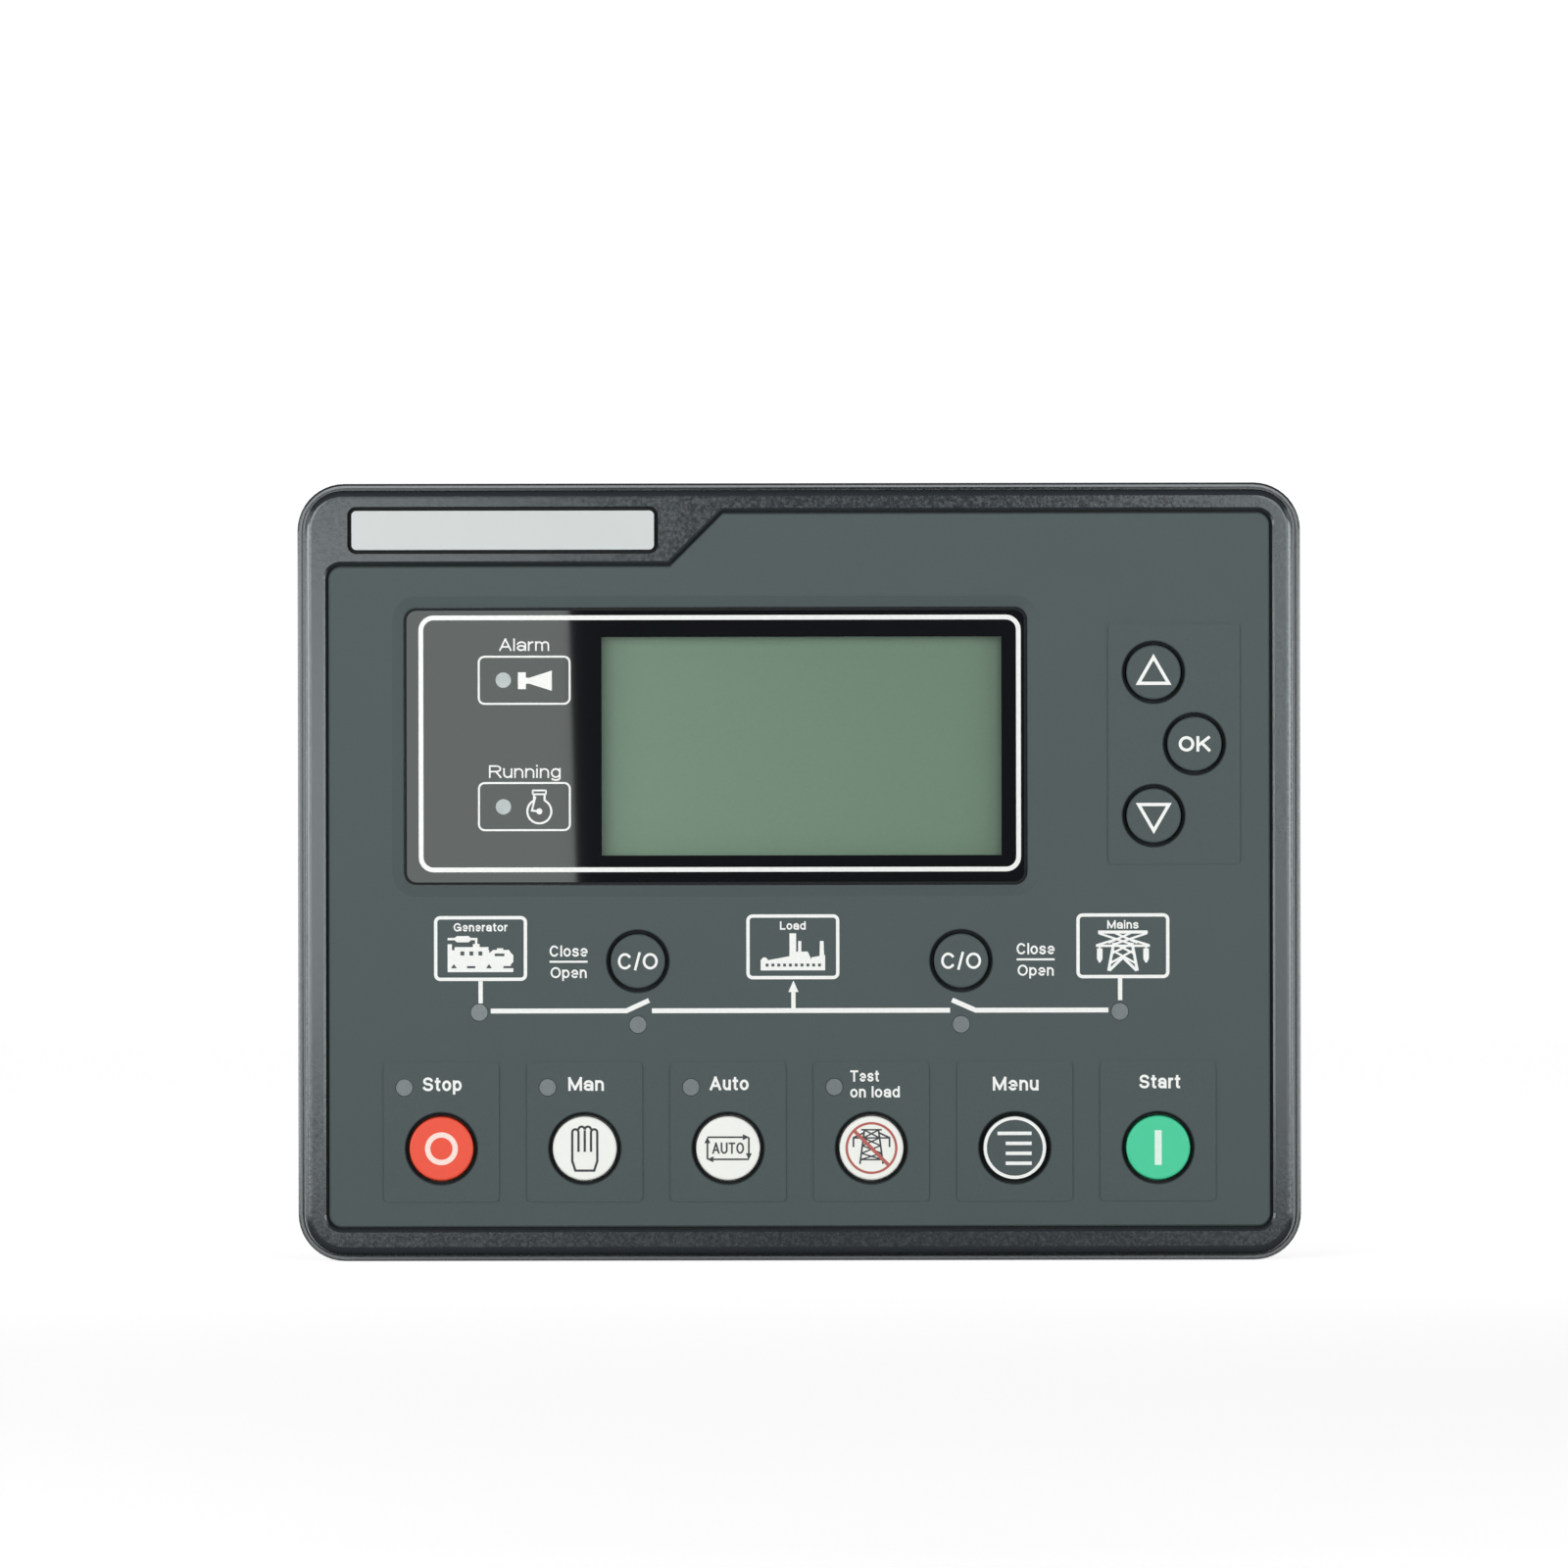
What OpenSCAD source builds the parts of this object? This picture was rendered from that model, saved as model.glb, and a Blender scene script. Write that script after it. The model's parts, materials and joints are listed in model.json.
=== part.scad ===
// Genset controller for a switchboard panel. A moulded bezel carries a silicone face,
// a screen window, keys and indicator lights. A stepped housing behind it holds two boards
// and pluggable terminals, and two jack-screw clips pull the bezel's gasket on to the panel.
// The pieces are drawn face up, with x to the right, y up the face and z towards the viewer,
// and are stood upright at the end. z = 0 is the surface of the panel.

/* [Front bezel] */
// Width of the bezel across its lip
bezel_w = 209; // [206:0.5:225]
// Height of the bezel across its lip
bezel_h = 162; // [160:0.5:178]
// Corner radius of the bezel
bezel_r = 9.8; // [7:0.1:14]
// How far the bezel stands in front of the panel
bezel_d = 10; // [9.5:0.1:14]
// Thickness of the lip that lies over the panel
lip_t = 2.6; // [2.2:0.1:4]
// Width of the lip outside the groove
lip_w = 0.9; // [0.6:0.1:1.6]
// Chamfer on the lip's front edge
lip_chamfer = 0.4; // [0.1:0.1:0.6]
// Width of the groove between lip and frame
groove_w = 0.6; // [0.4:0.1:1.2]
// Depth of that groove
groove_d = 0.9; // [0.4:0.1:1.2]
// Radius of the frame's front shoulder
shoulder_r = 1.7; // [0.8:0.1:2.2]
// Width of the frame beside the face
band_side = 6.1; // [5.4:0.1:8]
// Width of the frame above the face
band_top = 5.8; // [5.4:0.1:7]
// Width of the frame below the face
band_bottom = 6.7; // [5.4:0.1:8]
// Chamfer on the frame's inner edge
band_chamfer = 0.5; // [0.2:0.1:0.8]
// Thickness of the web behind the face
web_t = 2; // [1.4:0.1:3]

/* [Face panel] */
// Thickness of the silicone face
face_t = 2; // [1.6:0.1:3]
// Depth of the face below the frame's front
face_sink = 0.4; // [0.2:0.1:1]
// Gap between the face and the frame
face_gap = 0.6; // [0.3:0.1:1]
// Corner radius of the face
face_r = 2.6; // [1.5:0.1:5]
// Chamfer on the face's edge
face_chamfer = 0.3; // [0.1:0.1:0.6]
// Width of the face's stepped-down top edge
notch_w = 71; // [68:0.5:74]
// Drop of that edge below the rest of the top
notch_h = 11; // [10.6:0.1:12]
// Width of the pad around a key of the lower row
pad_w = 24; // [20:0.5:27]
// Height of the pad around a key of the lower row
pad_h = 29; // [25:0.5:30]
// Drop from the middle of a lower pad to its key
pad_drop = 3.4; // [1:0.1:4]
// Width of the pad around the arrow keys
nav_pad_w = 27.4; // [27:0.1:29]
// Height of the pad around the arrow keys
nav_pad_h = 50; // [45:0.5:54]
// Height of the pads above the face
pad_t = 0.25; // [0.05:0.01:0.4]
// Corner radius of the pads
pad_r = 1; // [0.5:0.1:3]

/* [Nameplate] */
// Width of the blank nameplate
plate_w = 62.9; // [55:0.1:64]
// Height of the blank nameplate
plate_h = 8.1; // [7:0.1:8.6]
// Thickness of the nameplate
plate_t = 1.2; // [0.8:0.1:1.6]
// Depth of its recess in the frame
plate_recess = 1.5; // [1:0.1:1.8]
// Gap around the nameplate
plate_gap = 0.85; // [0.2:0.05:0.9]
// Distance from the bezel's left edge to the nameplate
plate_left = 11.5; // [10.5:0.1:13]
// Distance from the bezel's top edge to the nameplate
plate_top = 5.8; // [5.4:0.1:6]
// Corner radius of the nameplate
plate_r = 1; // [0.5:0.1:2]

/* [Screen] */
// Width of the screen window
lens_w = 129.5; // [124:0.5:134]
// Height of the screen window
lens_h = 57.6; // [54:0.2:59]
// Corner radius of the screen window
lens_r = 2.6; // [1.5:0.1:5]
// Thickness of the screen window
lens_t = 1.5; // [1:0.1:1.8]
// Depth of its seat in the web
lens_pocket = 0.4; // [0.2:0.1:0.8]
// Gap around the screen window
lens_gap = 0.15; // [0.05:0.05:0.4]
// Width of the bevel that leads down to the window
lens_bevel = 2.3; // [1:0.1:2.4]
// Middle of the window left of the face's middle, as a share of the bezel's width
lens_share_x = 0.08325; // [0.077:0.0005:0.095]
// Middle of the window above the face's middle, as a share of the bezel's height
lens_share_y = 0.16173; // [0.155:0.0005:0.166]
// Width of the display's visible area
view_w = 83.2; // [76:0.1:86]
// Height of the display's visible area
view_h = 45.5; // [40:0.1:46]
// Margin of the window in the web around the visible area
view_edge = 1; // [0.4:0.1:2]
// Distance of the display right of the window's middle
lcd_right = 17.9; // [16:0.1:19]
// Border of the display module around the visible area
lcd_border = 6.4; // [5:0.1:7.2]
// Thickness of the display's glass
lcd_glass_t = 2.2; // [1.6:0.1:2.6]
// Sheet thickness of the display's metal frame
lcd_sheet = 0.4; // [0.3:0.1:0.6]
// Play of the display's layers in their frame
lcd_gap = 0.1; // [0.05:0.05:0.2]

/* [Keys] */
// Diameter of the keys in the lower row
row_key_d = 13.3; // [12:0.1:15]
// Diameter of the arrow, OK and breaker keys
small_key_d = 11.3; // [10:0.1:12]
// Gap between a key and the face around it
ring_gap = 0.85; // [0.5:0.05:1]
// Gap between a key and the web that guides it
key_gap = 0.3; // [0.2:0.05:0.4]
// How far the keys stand in front of the face
key_proud = 0.5; // [0.3:0.1:1]
// Travel of a key
key_travel = 0.5; // [0.3:0.05:0.6]
// Radius around a key's front edge
key_edge = 0.5; // [0.2:0.1:0.8]
// Width of the rim that stops a key behind the web
key_rim = 1; // [0.8:0.1:1.2]
// Thickness of that rim
key_rim_t = 1; // [0.7:0.1:1.4]
// Play of a key behind the web
key_play = 0.1; // [0.05:0.05:0.2]
// Length of a key's post
key_post = 0.8; // [0.5:0.1:1.5]
// Distance of the lower row's end keys inside the bezel's sides
row_in = 30; // [28:0.1:32]
// Drop of the lower row below the middle, as a share of the bezel's height
row_share = 0.35432; // [0.35:0.0005:0.358]
// Distance of the breaker keys from the middle, as a share of the bezel's width
breaker_share_x = 0.16077; // [0.15:0.0005:0.172]
// Drop of the breaker keys below the middle, as a share of the bezel's height
breaker_share_y = 0.1142; // [0.108:0.0005:0.117]
// Distance of the arrow keys inside the bezel's right side
nav_in = 30.8; // [30:0.1:32]
// Height of the OK key above the middle, as a share of the bezel's height
nav_share = 0.16358; // [0.155:0.0005:0.169]
// Distance of the arrow keys above and below the OK key
nav_rise = 14.9; // [14:0.1:16]
// Distance of the OK key outside the arrow keys
ok_out = 8.5; // [6:0.1:8.8]

/* [Indicator lights] */
// Diameter of the light pipes in the face
lamp_d = 3.5; // [2.5:0.1:4]
// Diameter of the light pipes behind the screen window
screen_lamp_d = 3.1; // [2.5:0.1:4]
// Gap around a light pipe
lamp_gap = 0.1; // [0.05:0.05:0.2]
// Width of the rim on a light pipe
lamp_rim = 0.6; // [0.4:0.1:1]
// Distance of the mode lights left of their keys
lamp_left = 7.7; // [7:0.1:9]
// Distance of the mode lights above their keys
lamp_up = 12.7; // [12:0.1:14]
// Distance of the supply lights from the middle, as a share of the bezel's width
supply_share_x = 0.31866; // [0.307:0.0005:0.325]
// Drop of the supply lights below the middle, as a share of the bezel's height
supply_share_y = 0.17963; // [0.173:0.0005:0.191]
// Drop of the breaker lights below the breaker keys
breaker_lamp_drop = 13.2; // [12:0.1:14]
// Distance of the alarm and running lights inside the window's left edge
screen_lamp_in = 20.65; // [16:0.05:22]
// Distance of those lights above and below the window's middle
screen_lamp_rise = 13.3; // [10:0.1:16]
// Side of a light-emitting diode
led_w = 2.4; // [1.6:0.1:3]
// Height of a light-emitting diode
led_h = 1; // [0.6:0.1:1.6]

/* [Panel fitting] */
// How far the bezel covers the panel beside the cut-out
cover_side = 11.5; // [11:0.1:12.5]
// How far the bezel covers the panel above and below the cut-out
cover_end = 10.5; // [9:0.1:11]
// Clearance of the housing in the cut-out
cutout_gap = 1; // [0.5:0.1:1.5]
// Thickness of the gasket
gasket_t = 2; // [1.6:0.1:2.6]
// How far the gasket stands out of its groove
gasket_proud = 1; // [0.6:0.1:1.2]
// Distance of the gasket inside the bezel's edge
gasket_edge = 3; // [2:0.1:5]
// Distance of the gasket outside the cut-out
gasket_inset = 0.5; // [0:0.1:1.5]
// Play of the gasket in its groove
gasket_gap = 0.1; // [0.05:0.05:0.3]

/* [Rear housing] */
// Wall of the pillars around the housing's screws
pillar_wall = 1.5; // [1:0.1:2]
// Wall of the bosses that take the screws
boss_wall = 2; // [1.4:0.1:2.4]
// How far the corner pillars run into the housing's walls
pillar_bite = 0.5; // [0.3:0.1:1]
// Distance of the housing screws' seats behind the display board
seat_back = 2; // [1:0.1:6]
// Wall thickness of the housing
wall_t = 2.2; // [1.6:0.1:3]
// Corner radius of the housing
housing_r = 4; // [3.2:0.1:8]
// Height of each terminal bay above and below the middle tower
bay_h = 23.5; // [21:0.5:24]
// Room between the main board and the floor of a bay
bay_room = 2; // [1.6:0.1:3]
// Room behind the tallest part on the main board
head_room = 2; // [1:0.1:6]
// Radius around the tower's rear edge
tower_edge = 1.6; // [0.5:0.1:2]
// Width of a vent slot
vent_w = 1.8; // [1.2:0.1:2.4]
// Length of a vent slot
vent_len = 28; // [16:1:34]
// Spacing of the vent slots
vent_pitch = 4.4; // [4:0.1:5]
// Number of slots in each vent
vent_count = 9; // [5:1:11]
// Distance of the vents from the middle
vent_x = 44; // [40:0.5:48]
// Height of the vents on the housing's back
vent_y = -14; // [-18:0.5:-10]

/* [Boards] */
// Thickness of the boards
board_t = 1.6; // [1:0.1:2]
// Gap beside the boards
board_side = 3.3; // [2.6:0.1:3.8]
// Gap above and below the boards
board_end = 1.3; // [0.6:0.1:2]
// Length of the spacers between the boards
spacer_len = 11.4; // [9:0.1:16]
// Width of the spacers across their flats
spacer_af = 6; // [5:0.1:7]
// Distance of the spacers from the screen's lights, across
spacer_side = 5; // [4.6:0.1:5.6]
// Distance of the spacers inside the tower's edges
spacer_in = 10; // [9:0.1:11.5]
// Diameter of the screws
screw_d = 3; // [2.5:0.1:3]
// Diameter of the screw heads
screw_head_d = 5.6; // [5:0.1:6]
// Height of the screw heads
screw_head_h = 2.1; // [1.5:0.1:2.5]
// Width of the cross recess in a screw head
recess_w = 1; // [0.6:0.1:1.4]
// Clearance around a screw in a tapped hole
thread_gap = 0.05; // [0.02:0.01:0.1]
// Clearance around a screw in a plain hole
hole_gap = 0.2; // [0.1:0.05:0.4]
// Side of a key switch
switch_w = 6; // [5:0.1:7]
// Height of a key switch above the board
switch_h = 3.5; // [3:0.1:5]
// Diameter of a switch stem
stem_d = 3.5; // [3:0.1:3.8]
// Length of a stem in front of its switch
stem_out = 1.2; // [0.9:0.1:2]
// Length of a stem inside its switch
stem_in = 0.8; // [0.6:0.1:1.2]
// Clearance around a stem
stem_gap = 0.3; // [0.2:0.05:0.4]
// Length of the connector between the boards
link_len = 26; // [12:1:34]
// Width of the connector between the boards
link_w = 5; // [3:0.1:8]

/* [Board parts] */
// Space between parts on the main board
part_space = 1.8; // [1:0.1:2.4]
// Corner radius of the moulded parts
part_r = 1; // [0.5:0.1:2]
// Space between the relays and the screw heads below them
relay_space = 3.7; // [2.4:0.1:5]
// Distance of the capacitors and the processor below the upper spacers
cap_in = 15; // [14:0.1:18]
// Place of the service port across the board
usb_x = 44; // [36:0.5:44]
// Distance of the service port below the upper spacers
usb_in = 14; // [12:0.1:16]
// Width of a relay
relay_w = 10; // [8:0.1:12]
// Length of a relay
relay_len = 20; // [16:0.5:21]
// Height of a relay
relay_h = 15.2; // [12:0.1:18]
// Number of relays
relay_count = 6; // [3:1:6]
// Spacing of the relays
relay_pitch = 13; // [12.6:0.1:13.6]
// Side of a current transformer
ct_w = 17; // [14:0.5:20]
// Height of a current transformer
ct_h = 14; // [10:0.1:18]
// Diameter of the hole in a current transformer
ct_bore = 6; // [4:0.1:8]
// Number of current transformers
ct_count = 3; // [1:1:3]
// Spacing of the current transformers
ct_pitch = 22; // [21:0.5:23]
// Diameter of a capacitor
cap_d = 10; // [6:0.1:12]
// Height of a capacitor
cap_h = 13; // [8:0.1:18]
// Number of capacitors
cap_count = 4; // [1:1:4]
// Side of the processor
chip_w = 20; // [14:0.5:24]
// Height of the processor
chip_h = 1.6; // [1:0.1:3]
// Width of the service port
usb_w = 12; // [8:0.1:13]
// Height of the service port
usb_h = 11; // [7:0.1:12]
// Wall of the service port
usb_wall = 1.6; // [1:0.1:1.8]
// Width of the tongue in the service port
tongue_w = 6; // [3:0.1:7]
// Height of the tongue in the service port
tongue_h = 3.2; // [1:0.1:4]
// Depth of the tongue below the port's mouth
tongue_sink = 1.5; // [0.5:0.1:3]
// Depth of the service port below the housing's back
usb_sink = 0.5; // [0.2:0.1:1.5]
// Clearance around the service port
usb_gap = 0.4; // [0.2:0.1:0.8]

/* [Terminals] */
// Pitch of the signal terminals
pitch_small = 5.08; // [4.5:0.01:5.5]
// Pitch of the supply terminals
pitch_large = 7.62; // [7:0.01:8.2]
// Wall of a plug beyond its last pole
plug_cheek = 0.5; // [0.3:0.1:1]
// Space between two plugs
plug_space = 6; // [5:0.1:7]
// Height of a terminal header
header_h = 8.6; // [8.2:0.1:9.4]
// Depth of a terminal header
header_d = 10; // [9:0.1:12]
// Wall of a terminal header
header_wall = 0.9; // [0.6:0.1:1.1]
// Play of a plug's nose in its header
nose_gap = 0.15; // [0.1:0.05:0.3]
// Height of a plug's body
plug_h = 11; // [10.4:0.1:12.4]
// Depth of a plug's body
plug_d = 9; // [8:0.1:10]
// Distance of the terminals from the housing's edge
terminal_in = 12; // [11.5:0.1:12.4]
// Side of a wire entry
entry_w = 3.1; // [2.5:0.1:3.4]
// Depth of a wire entry
entry_d = 6; // [4:0.1:7]
// Diameter of a clamp screw
clamp_d = 3.2; // [2.5:0.1:3.4]
// Height of a clamp screw
clamp_h = 1.4; // [1:0.1:1.6]
// Width of a clamp screw's slot
clamp_slot = 0.8; // [0.5:0.1:1]
// Depth of a clamp screw below the plug's side
clamp_sink = 0.6; // [0.3:0.1:0.8]

/* [Fixing clips] */
// Width of a clip
clip_w = 16; // [12:0.5:20]
// Sheet thickness of a clip
clip_t = 1.5; // [1.2:0.1:2]
// Reach of a clip's foot out from the housing
clip_reach = 11; // [10.5:0.1:12]
// Distance of a clip's foot behind the panel
clip_back = 20; // [18.5:0.1:21]
// Length of a clip along the housing
clip_len = 7.5; // [6.5:0.1:8]
// Reach of a clip's hook inside the wall
clip_hook = 1; // [0.6:0.1:1.2]
// Play of a clip's hook in its slot
clip_gap = 0.15; // [0.1:0.05:0.3]
// Diameter of a jack screw
jack_d = 4; // [3:0.1:4.5]
// Distance of a jack screw from the housing
jack_out = 6.5; // [6.2:0.1:6.8]
// Distance of a jack screw's tip behind the panel when it is backed off
jack_start = 8; // [6:0.1:9]
// Travel of a jack screw
jack_travel = 7; // [4:0.1:7.2]
// Diameter of a jack screw's head
jack_head_d = 7; // [6:0.1:8]
// Height of a jack screw's head
jack_head_h = 3; // [2:0.1:3.4]
// Length of a jack screw's point
jack_point = 1; // [0.5:0.1:1.4]
// Width of the hexagon socket across its corners
socket_d = 4; // [3:0.1:5]
// Clearance around a jack screw in its clip
jack_gap = 0.2; // [0.1:0.05:0.3]

/* [Hidden] */
$fn = 64;
KEY_NAMES = ["up", "ok", "down", "generator", "mains", "stop", "man", "auto", "test", "menu", "start"];
PLUG_NAMES = ["top_left", "top_middle", "top_right", "bottom_left", "bottom_middle", "bottom_right"];

// Overshoot of a cut past the surface that it opens
over = 1;

// Colours of the mouldings and the other materials
frame_grey = "#3d3f43";
face_grey = "#515d5d";
key_white = "#eff1eb";
key_red = "#ee5a44";
key_green = "#35b884";
steel = "#b9bcbe";
board_green = "#1f6b45";
terminal_green = "#2f9b57";
black = "#1b1c1e";

// Levels in front of the panel
flange_z = gasket_proud;
face_z = bezel_d - face_sink;
floor_z = face_z - face_t;
web_z = floor_z - web_t;
lens_z = floor_z - lens_pocket;
key_z = face_z + key_proud;
key_rear = web_z - key_play - key_rim_t - key_post;
switch_z = key_rear - stem_out;
board_z = switch_z - switch_h;

// Levels behind the panel
board_rear = board_z - board_t;
main_z = board_rear - spacer_len;
main_rear = main_z - board_t;
bay_z = main_rear - bay_room - wall_t;
tower_z = main_rear - max(relay_h, ct_h, cap_h) - head_room - wall_t;
header_z = main_rear - header_d;

// Face
face_w = bezel_w - 2 * (band_side + face_gap);
face_h = bezel_h - band_top - band_bottom - 2 * face_gap;
face_y = (band_bottom - band_top) / 2;
face_top = face_y + face_h / 2;
notch_x = notch_w - face_w / 2;

// Screen
lens_x = -lens_share_x * bezel_w;
lens_y = lens_share_y * bezel_h;
lcd_x = lens_x + lcd_right;

// Keys and lights
row_count = 6;
key_pitch = (bezel_w - 2 * row_in) / (row_count - 1);
key_row_y = -row_share * bezel_h;
breaker_x = breaker_share_x * bezel_w;
breaker_y = -breaker_share_y * bezel_h;
nav_x = bezel_w / 2 - nav_in;
nav_y = nav_share * bezel_h;
supply_x = supply_share_x * bezel_w;
supply_y = -supply_share_y * bezel_h;
screen_lamp_x = lens_x - lens_w / 2 + screen_lamp_in;
function row_x(place) = (place - (row_count - 1) / 2) * key_pitch;
at_up = [nav_x, nav_y + nav_rise];
at_ok = [nav_x + ok_out, nav_y];
at_down = [nav_x, nav_y - nav_rise];
at_generator = [-breaker_x, breaker_y];
at_mains = [breaker_x, breaker_y];
at_stop = [row_x(0), key_row_y];
at_man = [row_x(1), key_row_y];
at_auto = [row_x(2), key_row_y];
at_test = [row_x(3), key_row_y];
at_menu = [row_x(4), key_row_y];
at_start = [row_x(5), key_row_y];
SMALL_KEYS = [at_up, at_ok, at_down, at_generator, at_mains];
ROW_KEYS = [at_stop, at_man, at_auto, at_test, at_menu, at_start];
FACE_LAMPS = concat(
  [for (place = [0:3]) [row_x(place) - lamp_left, key_row_y + lamp_up]],
  [for (side = [-1, 1]) [side * supply_x, supply_y]],
  [for (side = [-1, 1]) [side * breaker_x, breaker_y - breaker_lamp_drop]]
);
SCREEN_LAMPS = [for (side = [-1, 1]) [screen_lamp_x, lens_y + side * screen_lamp_rise]];

// Housing and boards
cutout_w = bezel_w - 2 * cover_side;
cutout_h = bezel_h - 2 * cover_end;
housing_w = cutout_w - 2 * cutout_gap;
housing_h = cutout_h - 2 * cutout_gap;
inner_w = housing_w - 2 * wall_t;
inner_h = housing_h - 2 * wall_t;
inner_r = housing_r - wall_t;
tower_h = housing_h - 2 * bay_h;
board_w = inner_w - 2 * board_side;
board_h = inner_h - 2 * board_end;
tapped_d = screw_d + 2 * thread_gap;
clear_d = screw_d + 2 * hole_gap;
spacer_x = -screen_lamp_x - spacer_side;
spacer_y = tower_h / 2 - spacer_in;
SPACERS = [for (sx = [-1, 1], sy = [-1, 1]) [sx * spacer_x, sy * spacer_y]];

// Corner pillars that take the housing's screws
pillar_r = screw_head_d / 2 + hole_gap + pillar_wall;
boss_r = screw_d / 2 + boss_wall;
pillar_x = inner_w / 2 - pillar_r + pillar_bite;
pillar_y = inner_h / 2 - pillar_r + pillar_bite;
pillar_seat = board_rear - seat_back;
PILLARS = [for (sx = [-1, 1], sy = [-1, 1]) [sx * pillar_x, sy * pillar_y]];

// Terminals, each with its pole count and pitch, left to right
TOP_ROW = [[8, pitch_small], [10, pitch_small], [8, pitch_small]];
BOTTOM_ROW = [[6, pitch_large], [8, pitch_small], [6, pitch_large]];
function plug_len(row, place) = row[place][0] * row[place][1] + 2 * plug_cheek;
function run_len(row, places) =
  places == 0 ? 0 : plug_len(row, places - 1) + plug_space + run_len(row, places - 1);
function plug_x(row, place) =
  run_len(row, place) + plug_len(row, place) / 2 - (run_len(row, len(row)) - plug_space) / 2;
function pole_x(row, place, pole) = (pole - (row[place][0] - 1) / 2) * row[place][1];
terminal_y = housing_h / 2 - terminal_in;

// Places of the jack screws
function jack_at(side) = [side * (housing_w / 2 + jack_out), 0];

// First places in the row of relays and current transformers, which is centred
relay_run = (relay_count - 1) * relay_pitch + relay_w;
ct_run = (ct_count - 1) * ct_pitch + ct_w;
relay_x = (relay_w - relay_run - part_space - ct_run) / 2;
ct_x = relay_x + relay_run + part_space + (ct_w - relay_w) / 2;

// Heights of the board parts, from the spacers' screws
relay_y = screw_head_d / 2 + relay_space + relay_len / 2 - spacer_y;
cap_y = spacer_y - cap_in;
usb_y = spacer_y - usb_in;

// Stands a piece that was drawn face up
module stand() {
  rotate([90, 0, 0]) children();
}

// Extrudes an outline from one level up to another
module slab(low, high) {
  translate([0, 0, low]) linear_extrude(high - low) children();
}

// A round bar or hole from one level up to another
module rod(at, d, low, high) {
  translate([at.x, at.y, low]) cylinder(d = d, h = high - low);
}

// A rounded rectangle about the origin
module rounded(w, h, r) {
  square([w - 2 * r, h], center = true);
  square([w, h - 2 * r], center = true);
  for (sx = [-1, 1], sy = [-1, 1])
    translate([sx * (w / 2 - r), sy * (h / 2 - r)]) circle(r);
}

// An upright slot with round ends
module slot(w, len) {
  square([w, len - w], center = true);
  for (end = [-1, 1]) translate([0, end * (len - w) / 2]) circle(d = w);
}

// The waste that a rounding tool leaves at an outer corner
module spandrel(r) {
  difference() {
    square(r + over);
    circle(r);
  }
}

// Carries a profile around a rounded rectangle. The profile runs from 0, at the corner's centre, outwards.
module carried(w, h, r, low, high) {
  for (turn = [0:3]) {
    half = turn % 2 == 0 ? [w / 2 - r, h / 2 - r] : [h / 2 - r, w / 2 - r];
    rotate(90 * turn) translate([half.x, half.y, 0]) {
      rotate_extrude(angle = 90) children();
      rotate([90, 0, 0]) linear_extrude(2 * half.y) children();
    }
  }
  translate([r - w / 2, r - h / 2, low]) cube([w - 2 * r, h - 2 * r, high - low]);
}

// The section from a wall to its flared or chamfered mouth
module mouth_profile(r, low, kink, high, out) {
  polygon([[0, low], [r, low], [r, kink], [r + out, high], [0, high]]);
}

// The section of the frame: lip, groove and rounded shoulder
module frame_profile() {
  lip_z = flange_z + lip_t;
  lip_in = bezel_r - lip_w;
  frame_out = lip_in - groove_w;
  difference() {
    polygon([
      [0, flange_z], [bezel_r, flange_z], [bezel_r, lip_z - lip_chamfer], [bezel_r - lip_chamfer, lip_z],
      [lip_in, lip_z], [lip_in, lip_z - groove_d], [frame_out, lip_z - groove_d],
      [frame_out, bezel_d], [0, bezel_d]
    ]);
    translate([frame_out - shoulder_r, bezel_d - shoulder_r]) spandrel(shoulder_r);
  }
}

// The face's stepped outline, grown by a gap, with its mouth flared or chamfered
module face_form(grow, low, kink, high, out) {
  r = face_r + grow;
  w = face_w + 2 * grow;
  full_h = face_h + 2 * grow;
  low_h = full_h - notch_h;
  far = bezel_w;
  lead = 3 * r;
  translate([0, face_y - notch_h / 2, 0])
    carried(w, low_h, r, low, high) mouth_profile(r, low, kink, high, out);
  intersection() {
    translate([0, face_y, 0]) carried(w, full_h, r, low, high) mouth_profile(r, low, kink, high, out);
    translate([notch_x, face_top - notch_h, 0]) rotate(45) rotate([90, 0, 90])
      translate([0, 0, -lead]) linear_extrude(far)
        polygon([[-far, low], [grow, low], [grow, kink], [grow + out, high], [-far, high]]);
  }
}

// The outlines of the headers in both rows
module header_outlines(grow) {
  for (place = [0:2]) {
    translate([plug_x(TOP_ROW, place), terminal_y])
      square([plug_len(TOP_ROW, place) + 2 * grow, header_h + 2 * grow], center = true);
    translate([plug_x(BOTTOM_ROW, place), -terminal_y])
      square([plug_len(BOTTOM_ROW, place) + 2 * grow, header_h + 2 * grow], center = true);
  }
}

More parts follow.
